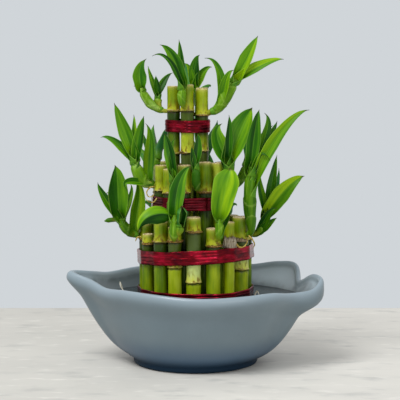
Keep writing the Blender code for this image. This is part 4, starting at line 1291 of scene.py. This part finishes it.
def blade_parts(spine_at, width, facing, grip, tone, seed, fold=1.0, twist=0.0, wrap=OPEN_WRAP,
                split=0.0, turn=1.0, broadest=0.5):
    """Points, faces and marks of one blade. Below zero, `fold` bends it the other way; `wrap` is how far
    it rolls up to each side, in degrees, and one more setting paints one half paler than the other, as
    painted light and shade across the fold."""
    face = polar(1.0, facing, BLADE_TURNS_UP)
    turned = turn * foot_turn(spine_at, face)
    rings = []
    marks = {"collar": 0.0, "along": [], "across": [], "tone": [], "under": [], "stem": 0.0, "leaf": seed}
    columns = [-1 + 2 * j / BLADE_COLUMNS for j in range(BLADE_COLUMNS + 1)]
    grip = min(grip, GRIP_MOST * width)
    roundness = 1.2 + 0.3 * ease(width, 8.0, 15.0)      # broad blades have rounder shoulders
    for i in range(BLADE_ROWS + 1):
        share = (i / BLADE_ROWS) ** BLADE_CROWDING
        spine = spine_at(share)
        ahead = (spine_at(min(share + 0.01, 1.0)) - spine_at(max(share - 0.01, 0.0))).normalized()
        normal = squared(face, ahead)
        normal.rotate(Matrix.Rotation(twist * share + turned * (1 - ease(share, 0.0, 0.4)), 3, ahead))
        side = ahead.cross(normal)
        closing = math.exp(-(share / FOOT_SPAN) ** 2)
        hold = grip * (0.8 + 0.2 * ease(share, 0.0, 0.07))
        reach = max(width / 2 * blade_outline(share, broadest, roundness), BLADE_LEAST)
        half = reach * math.radians(wrap) / math.sin(math.radians(wrap))
        half += (hold * math.radians(FOOT_WRAP) - half) * closing
        reach += (hold - reach) * math.exp(-(share / FOOT_NECK) ** 2)
        bend = arc_angle(max(half / reach, 1.001))
        crease = BLADE_FOLD * fold * half * (1 - closing)
        spine -= normal * grip * closing
        upper, lower = [], []
        for u in columns:
            a = bend * u
            flutter = EDGE_WAVE * half * abs(u) ** 3 * math.sin(EDGE_TURNS * share + seed + 1.3 * (u > 0))
            lift = half * (1 - math.cos(a)) / bend * (1 if fold > 0 else -1) + crease * abs(u)
            lift += flutter * (1 - closing)
            spot = spine + side * (half * math.sin(a) / bend) + normal * lift
            ridge = MIDRIB_DEPTH * math.exp(-(u / MIDRIB_WIDTH) ** 2) * (1 - share)
            thick = BLADE_THICK / 2 * (1 - MARGIN_THINNER * u ** 4)
            away = normal * math.cos(a) - side * math.sin(a) * (1 if fold > 0 else -1)
            upper.append(spot + away * (thick - ridge))
            lower.append(spot - away * (thick + ridge))
        rings.append(upper + lower[::-1])
        marks["across"] += columns + columns[::-1]
        marks["under"] += [0.0] * len(columns) + [1.0] * len(columns)
        marks["along"] += [share] * (2 * len(columns))
        # painted light and shade: one half of the blade is painted paler and the other darker, as light
        # falls across the fold
        tones = [tone + split * (2 * ease(u, -0.12, 0.12) - 1) for u in columns]
        marks["tone"] += tones + tones[::-1]
    return (*skin(rings), marks)


print("faces of one blade:", BLADE_ROWS * 2 * (BLADE_COLUMNS + 1) + 2)

# %% [markdown]
# ## Leaf green
# Dracaena leaves are fresh green and slightly glossy, with many fine parallel veins that meet at the
# tip. The margin is a thin pale line, the foot is paler, and the very tip dries to brown. The back is
# duller and blue-green, partly its own colour and partly a painted sheen. Noise stretched along the leaf
# makes the veins, both in colour and as relief. The same material covers the sheaths, which are paler
# still and have dry collars.

# %% Leaf green
def leaf_finish():
    finish, tree, _ = new_finish("leaf_green", 0.4, Specular_IOR_Level=0.12)
    across, along = mark(tree, "across"), mark(tree, "along")
    edge = calc(tree, "ABSOLUTE", across)
    on_leaf = place(tree, "ShaderNodeCombineXYZ", X=across, Y=along, Z=mark(tree, "leaf"))
    veins = clouds(tree, on_leaf, 0.11, 3.0, (1, 0.12, 3))
    broad = clouds(tree, on_leaf, 0.5, 2.0, (1, 0.7, 3))
    tone = plus(tree, mark(tree, "tone"), swing(tree, veins, 0.26))
    tone = plus(tree, tone, swing(tree, broad, 1.0))
    blade = ramp(tree, tone, (0.0, (12, 56, 4)), (0.3, (40, 96, 4)), (0.6, (84, 134, 6)),
                 (1.0, (140, 176, 12)))
    sheath = ramp(tree, tone, (0.2, (42, 90, 4)), (0.65, (94, 138, 14)), (1.0, (156, 188, 98)))
    sheath = coats(tree, sheath, (times(tree, mark(tree, "collar"), 0.26), (166, 186, 90)),
                   (fade(tree, along, 0.5, 0.15, 0.85), (146, 150, 44)))
    # the back of a blade is duller blue-green, partly its own colour and partly a painted sheen
    body = coats(tree, blade, (times(tree, mark(tree, "under"), 0.45), (46, 114, 60)),
                 (fade(tree, along, 0.24, 0.06, 0.75), (88, 136, 20)),
                 (fade(tree, edge, 0.07, 0.02, 0.22), (120, 166, 50)),
                 (fade(tree, edge, 0.9, 0.98, 0.3), (150, 186, 70)),
                 (fade(tree, along, 0.9, 0.97, 0.9), (52, 46, 20)), (mark(tree, "stem"), sheath))
    return painted(finish, body, veins, 0.4, 0.2 * MM)


LEAF_GREEN = leaf_finish()
print("leaf green:", len(LEAF_GREEN.node_tree.nodes), "nodes")

# %% [markdown]
# ## Build the shoots
# Each stem starts inside its cane, so the shoot grows out of the skin and not beside it. A leaf's tone
# is drawn at random from a fixed seed, and so is how much one half is painted paler than the other, as
# painted light and shade across its fold. What the rows of `SHOOTS` say about single leaves goes over
# the draw: the bright one in front, the one that bends over with one half painted darker as shade, a
# young one that is still rolled up, and the deep green ones in the shade, whose shade is painted into
# their tone.

# %% Build the shoots
SUNK = 2.0
SHEATH_DROP = 0.16              # a sheath starts this much lower on the stem than its blade opens
SHEATH_STAGGER = 0.05
SHEATH_CLEAR = 0.3
SHEATH_LAYER = 0.1              # each sheath lies this much further out than the one inside it
NARROW_WIDER = 0.12             # the narrowest blades are drawn this much wider, as they roll up more
PALE_FROM = 0.6
PALE_SHEATH_LENGTH = 6.5        # on the palest stems, whose old sheaths are short


def root_point(cane, height, towards):
    """Just inside the cane's skin, on the side that the stem leaves."""
    centre, diameter, _, _ = cane
    outward = Vector((towards[0] - centre.x, towards[1] - centre.y, 0)).normalized()
    return centre + outward * (diameter / 2 - SUNK) + Vector((0, 0, height))


def leaf_parts(points, thick, thin, order, share, halfway, tip, width, facing, own):
    """One leaf of a shoot, on the stem that the first three values give."""
    # each leaf draws how much one half is painted paler, as painted light and shade
    drawn = {"tone": random.uniform(0.14, 0.6), "twist": random.uniform(-0.25, 0.25),
             "split": random.choice((-0.13, 0.13))}
    drawn.update(*own)
    share = max(share - SHEATH_DROP - SHEATH_STAGGER * order, 0.08)
    grip = stem_radius(share, thick, thin) + SHEATH_CLEAR + SHEATH_LAYER * order
    width *= 1 + NARROW_WIDER * (1 - ease(width, 6.0, 12.0))
    ahead = along_curve(points, min(share + 0.03, 1.0)) - along_curve(points, share - 0.03)
    spine_at = blade_spine(along_curve(points, share), ahead.normalized(), halfway, tip)
    return blade_parts(spine_at, width, facing, grip, seed=random.uniform(0, 6), **drawn)


random.seed(5)
shoot_faces = 0
for name, (root, pale, stems, leaves) in SHOOTS.items():
    first, *others = stems
    start = root_point(CANES[root[0]], root[1], first[0][0])
    stems = [([start] + first[0], *first[1:]), *others]
    feet = [[share - SHEATH_DROP - SHEATH_STAGGER * i for i, (on, share, *_) in enumerate(leaves)
             if on == number] for number in range(len(stems))]
    parts = [stem_parts(*stem, min(max(here, default=1.0) + STEM_END, 1.0),
                        random.uniform(pale - 0.1, pale + 0.1), random.uniform(0, 6),
                        PALE_SHEATH_LENGTH if pale > PALE_FROM else SHEATH_LENGTH)
             for stem, here in zip(stems, feet)]
    parts += [leaf_parts(*stems[on], i, share, halfway, tip, width, facing, own)
              for i, (on, share, halfway, tip, width, facing, *own) in enumerate(leaves)]
    mesh = new_mesh(name + "_leaves", *join_parts(parts), LEAF_GREEN)
    seat(name + "_leaves", mesh, "leaf", name)
    shoot_faces += len(mesh.polygons)
print("shoots:", len(SHOOTS), "faces:", shoot_faces)

# %% [markdown]
# ## Torn sheaths
# Each ring once held a leaf, and a rag of its dry sheath stays behind, brown and papery. A rag is a thin
# tube that goes part of the way round its cane. It starts on the ring, leans outwards as it rises, and
# noise tears its upper edge. Two of them, on the right, are larger and have bleached towards grey.

# %% Torn sheaths
RAG_THICK = 0.25
RAG_STEPS = 40
RAG_ROWS = 5
RAG_CLEAR = 0.25                # from the cane's skin to the rag, on top of each rag's own distance
RAG_DROP = 0.4                  # a rag starts this much under the middle of its ring
RAGS_FROM = 80.0                # the rings below the bottom tie have lost their rags


def rag_parts(cane, clear, z, start, sweep, height, lean, grey, ragged, seed):
    """Points, faces and marks of one rag. It goes round its cane from `start` over `sweep` degrees."""
    centre, diameter, _, _ = cane
    rings = []
    edge = []
    for rise in shares(RAG_ROWS + 1):
        outer, inner = [], []
        for share in shares(RAG_STEPS + 1):
            azimuth = start + sweep * share
            tear = 1 - ragged * (0.5 + 0.5 * wave(seed, 9 * share) + 0.3 * wave(seed + 1, 26 * share))
            tall = height * tear * min(1.0, 6 * share, 6 * (1 - share))
            reach = (diameter / 2 + clear + RAG_CLEAR
                     + lean * rise ** 2 * (0.6 + 0.4 * wave(seed + 2, 7 * share)))
            outer.append(polar(reach + RAG_THICK, azimuth, z + tall * rise, axis=centre))
            inner.append(polar(reach, azimuth, z + tall * rise, axis=centre))
        rings.append(outer + inner[::-1])
        edge += [rise] * (2 * len(outer))
    return (*skin(rings), {"grey": grey, "edge": edge})


def rag_finish():
    finish, tree, where = new_finish("dry_sheath", 0.75, Specular_IOR_Level=0.1)
    fibres = clouds(tree, where, 0.7 * MM, 4.0, (1, 1, 0.15))
    brown = ramp(tree, fibres, (0.3, (70, 40, 14)), (0.5, (142, 106, 46)), (0.75, (204, 184, 122)))
    bleached = ramp(tree, fibres, (0.3, (92, 82, 66)), (0.7, (188, 184, 170)))
    body = coats(tree, brown, (mark(tree, "grey"), bleached),
                 (fade(tree, mark(tree, "edge"), 0.7, 1.0, 0.5), (52, 34, 16)))
    return painted(finish, body, fibres, 0.6, 0.2 * MM)


random.seed(33)
rags = []
for cane in CANES.values():
    for z in cane[3]:
        if z > RAGS_FROM:
            rags.append(rag_parts(cane, 0.3, z - RAG_DROP, start=random.uniform(0, 360),
                                  sweep=random.uniform(90, 240), height=random.uniform(1.2, 2.6),
                                  lean=random.uniform(0.5, 1.3), grey=0.0, ragged=0.8,
                                  seed=random.uniform(0, 9)))
rags.append(rag_parts(CANES["cane_bottom_06"], 0.4, 86.0, start=200, sweep=150, height=9.5, lean=0.8,
                      grey=0.8, ragged=0.35, seed=5.1))
rags.append(rag_parts(CANES["cane_bottom_07"], 0.4, 89.0, start=200, sweep=120, height=3.5, lean=1.2,
                      grey=0.5, ragged=0.7, seed=6.0))
torn = seat("torn_sheaths", new_mesh("torn_sheaths", *join_parts(rags), rag_finish()), "leaf")
print("rags:", len(rags), "faces:", len(torn.data.polygons))

# %% [markdown]
# ## Roots and tendrils
# Pale roots hang into the water from the foot of the bundle, and two loop up over the surface, the
# taller one on the left. Dry tendrils, the last shreds of old leaves, curl beside some shoots. All of
# them are thin lines with a taper, so the tree that skinned the canes skins them too.

# %% Roots and tendrils
# name: (finish, radius at the thick end, points)
THREADS = {
    "root_loop": ("root", 0.35, [(-47, -8, 47), (-50, -8.5, 51), (-53, -8.5, 55), (-53.6, -8, 58.6),
                                 (-52.2, -8, 55), (-51.6, -8, 51), (-51, -8, 47)]),
    "root_right": ("root", 0.5, [(40.5, -8, 46.5), (42.4, -8.6, 49.5), (43.6, -9, 52.2), (45, -9, 50),
                                 (46.5, -8, 46)]),
    "root_under_left": ("root", 0.5, [(-30, -29, 40), (-36, -33, 38), (-41, -34, 34), (-43, -35, 28)]),
    "root_under_right": ("root", 0.5, [(34, -25, 40), (40, -28, 38), (45, -27, 33), (46, -25, 26)]),
    "tendril_middle_left": ("tan", 0.5, [(-28.6, -19, 127.6), (-31.6, -20, 127), (-34, -20, 124),
                                         (-32.8, -20, 120.8), (-29.8, -20, 121), (-28.6, -19.6, 123.6)]),
    "tendril_low_left": ("tan", 0.5, [(-27, -19.4, 119.5), (-29, -20.4, 117), (-32.5, -20.4, 117),
                                      (-35, -19.8, 119.8)]),
    "tendril_right": ("tan", 0.6, [(27.5, -29, 89.5), (30.5, -29.6, 86.5), (34, -29, 87), (36, -28, 90.5),
                                   (35, -27.5, 93)]),
    "tendril_far_right": ("tan", 0.6, [(37, -25, 94), (39.8, -26, 91), (41.2, -25.4, 87.6),
                                       (40, -24.5, 85)]),
    "tendril_far_left": ("tan", 0.7, [(-38.6, -9, 91), (-41.2, -10, 90.6), (-42.6, -10, 88)]),
}


def thread_finish(name, *stops):
    finish, tree, where = new_finish(name, 0.6, Specular_IOR_Level=0.2)
    blotches = clouds(tree, where, 1.2 * MM, 3.0)
    return painted(finish, ramp(tree, blotches, *stops), blotches, 0.4, 0.2 * MM)


THREAD_FINISH = {
    "root": thread_finish("water_root", (0.35, (160, 150, 122)), (0.6, (236, 234, 220))),
    "tan": thread_finish("dry_tendril", (0.35, (108, 78, 22)), (0.6, (196, 176, 92)))}
THREAD_STEPS = 60
THREAD_TAPER = 0.7              # how much thinner a thread is at its far end
for name, (finish, thick, points) in THREADS.items():
    chain = [(along_curve(points, s), {"girth": thick * (1 - THREAD_TAPER * s ** 2) * MM, "sink": 0.0,
                                        "loose": 0.0}) for s in shares(THREAD_STEPS)]
    mesh = grow(name, SWEPT_SKIN, chain, Sides=12, Lump_height=0.25 * MM, Lump_size=2 * MM,
                Ring_sway=0.0, Finish=THREAD_FINISH[finish])
    seat(name, mesh, "leaf")
print("threads:", len(THREADS))
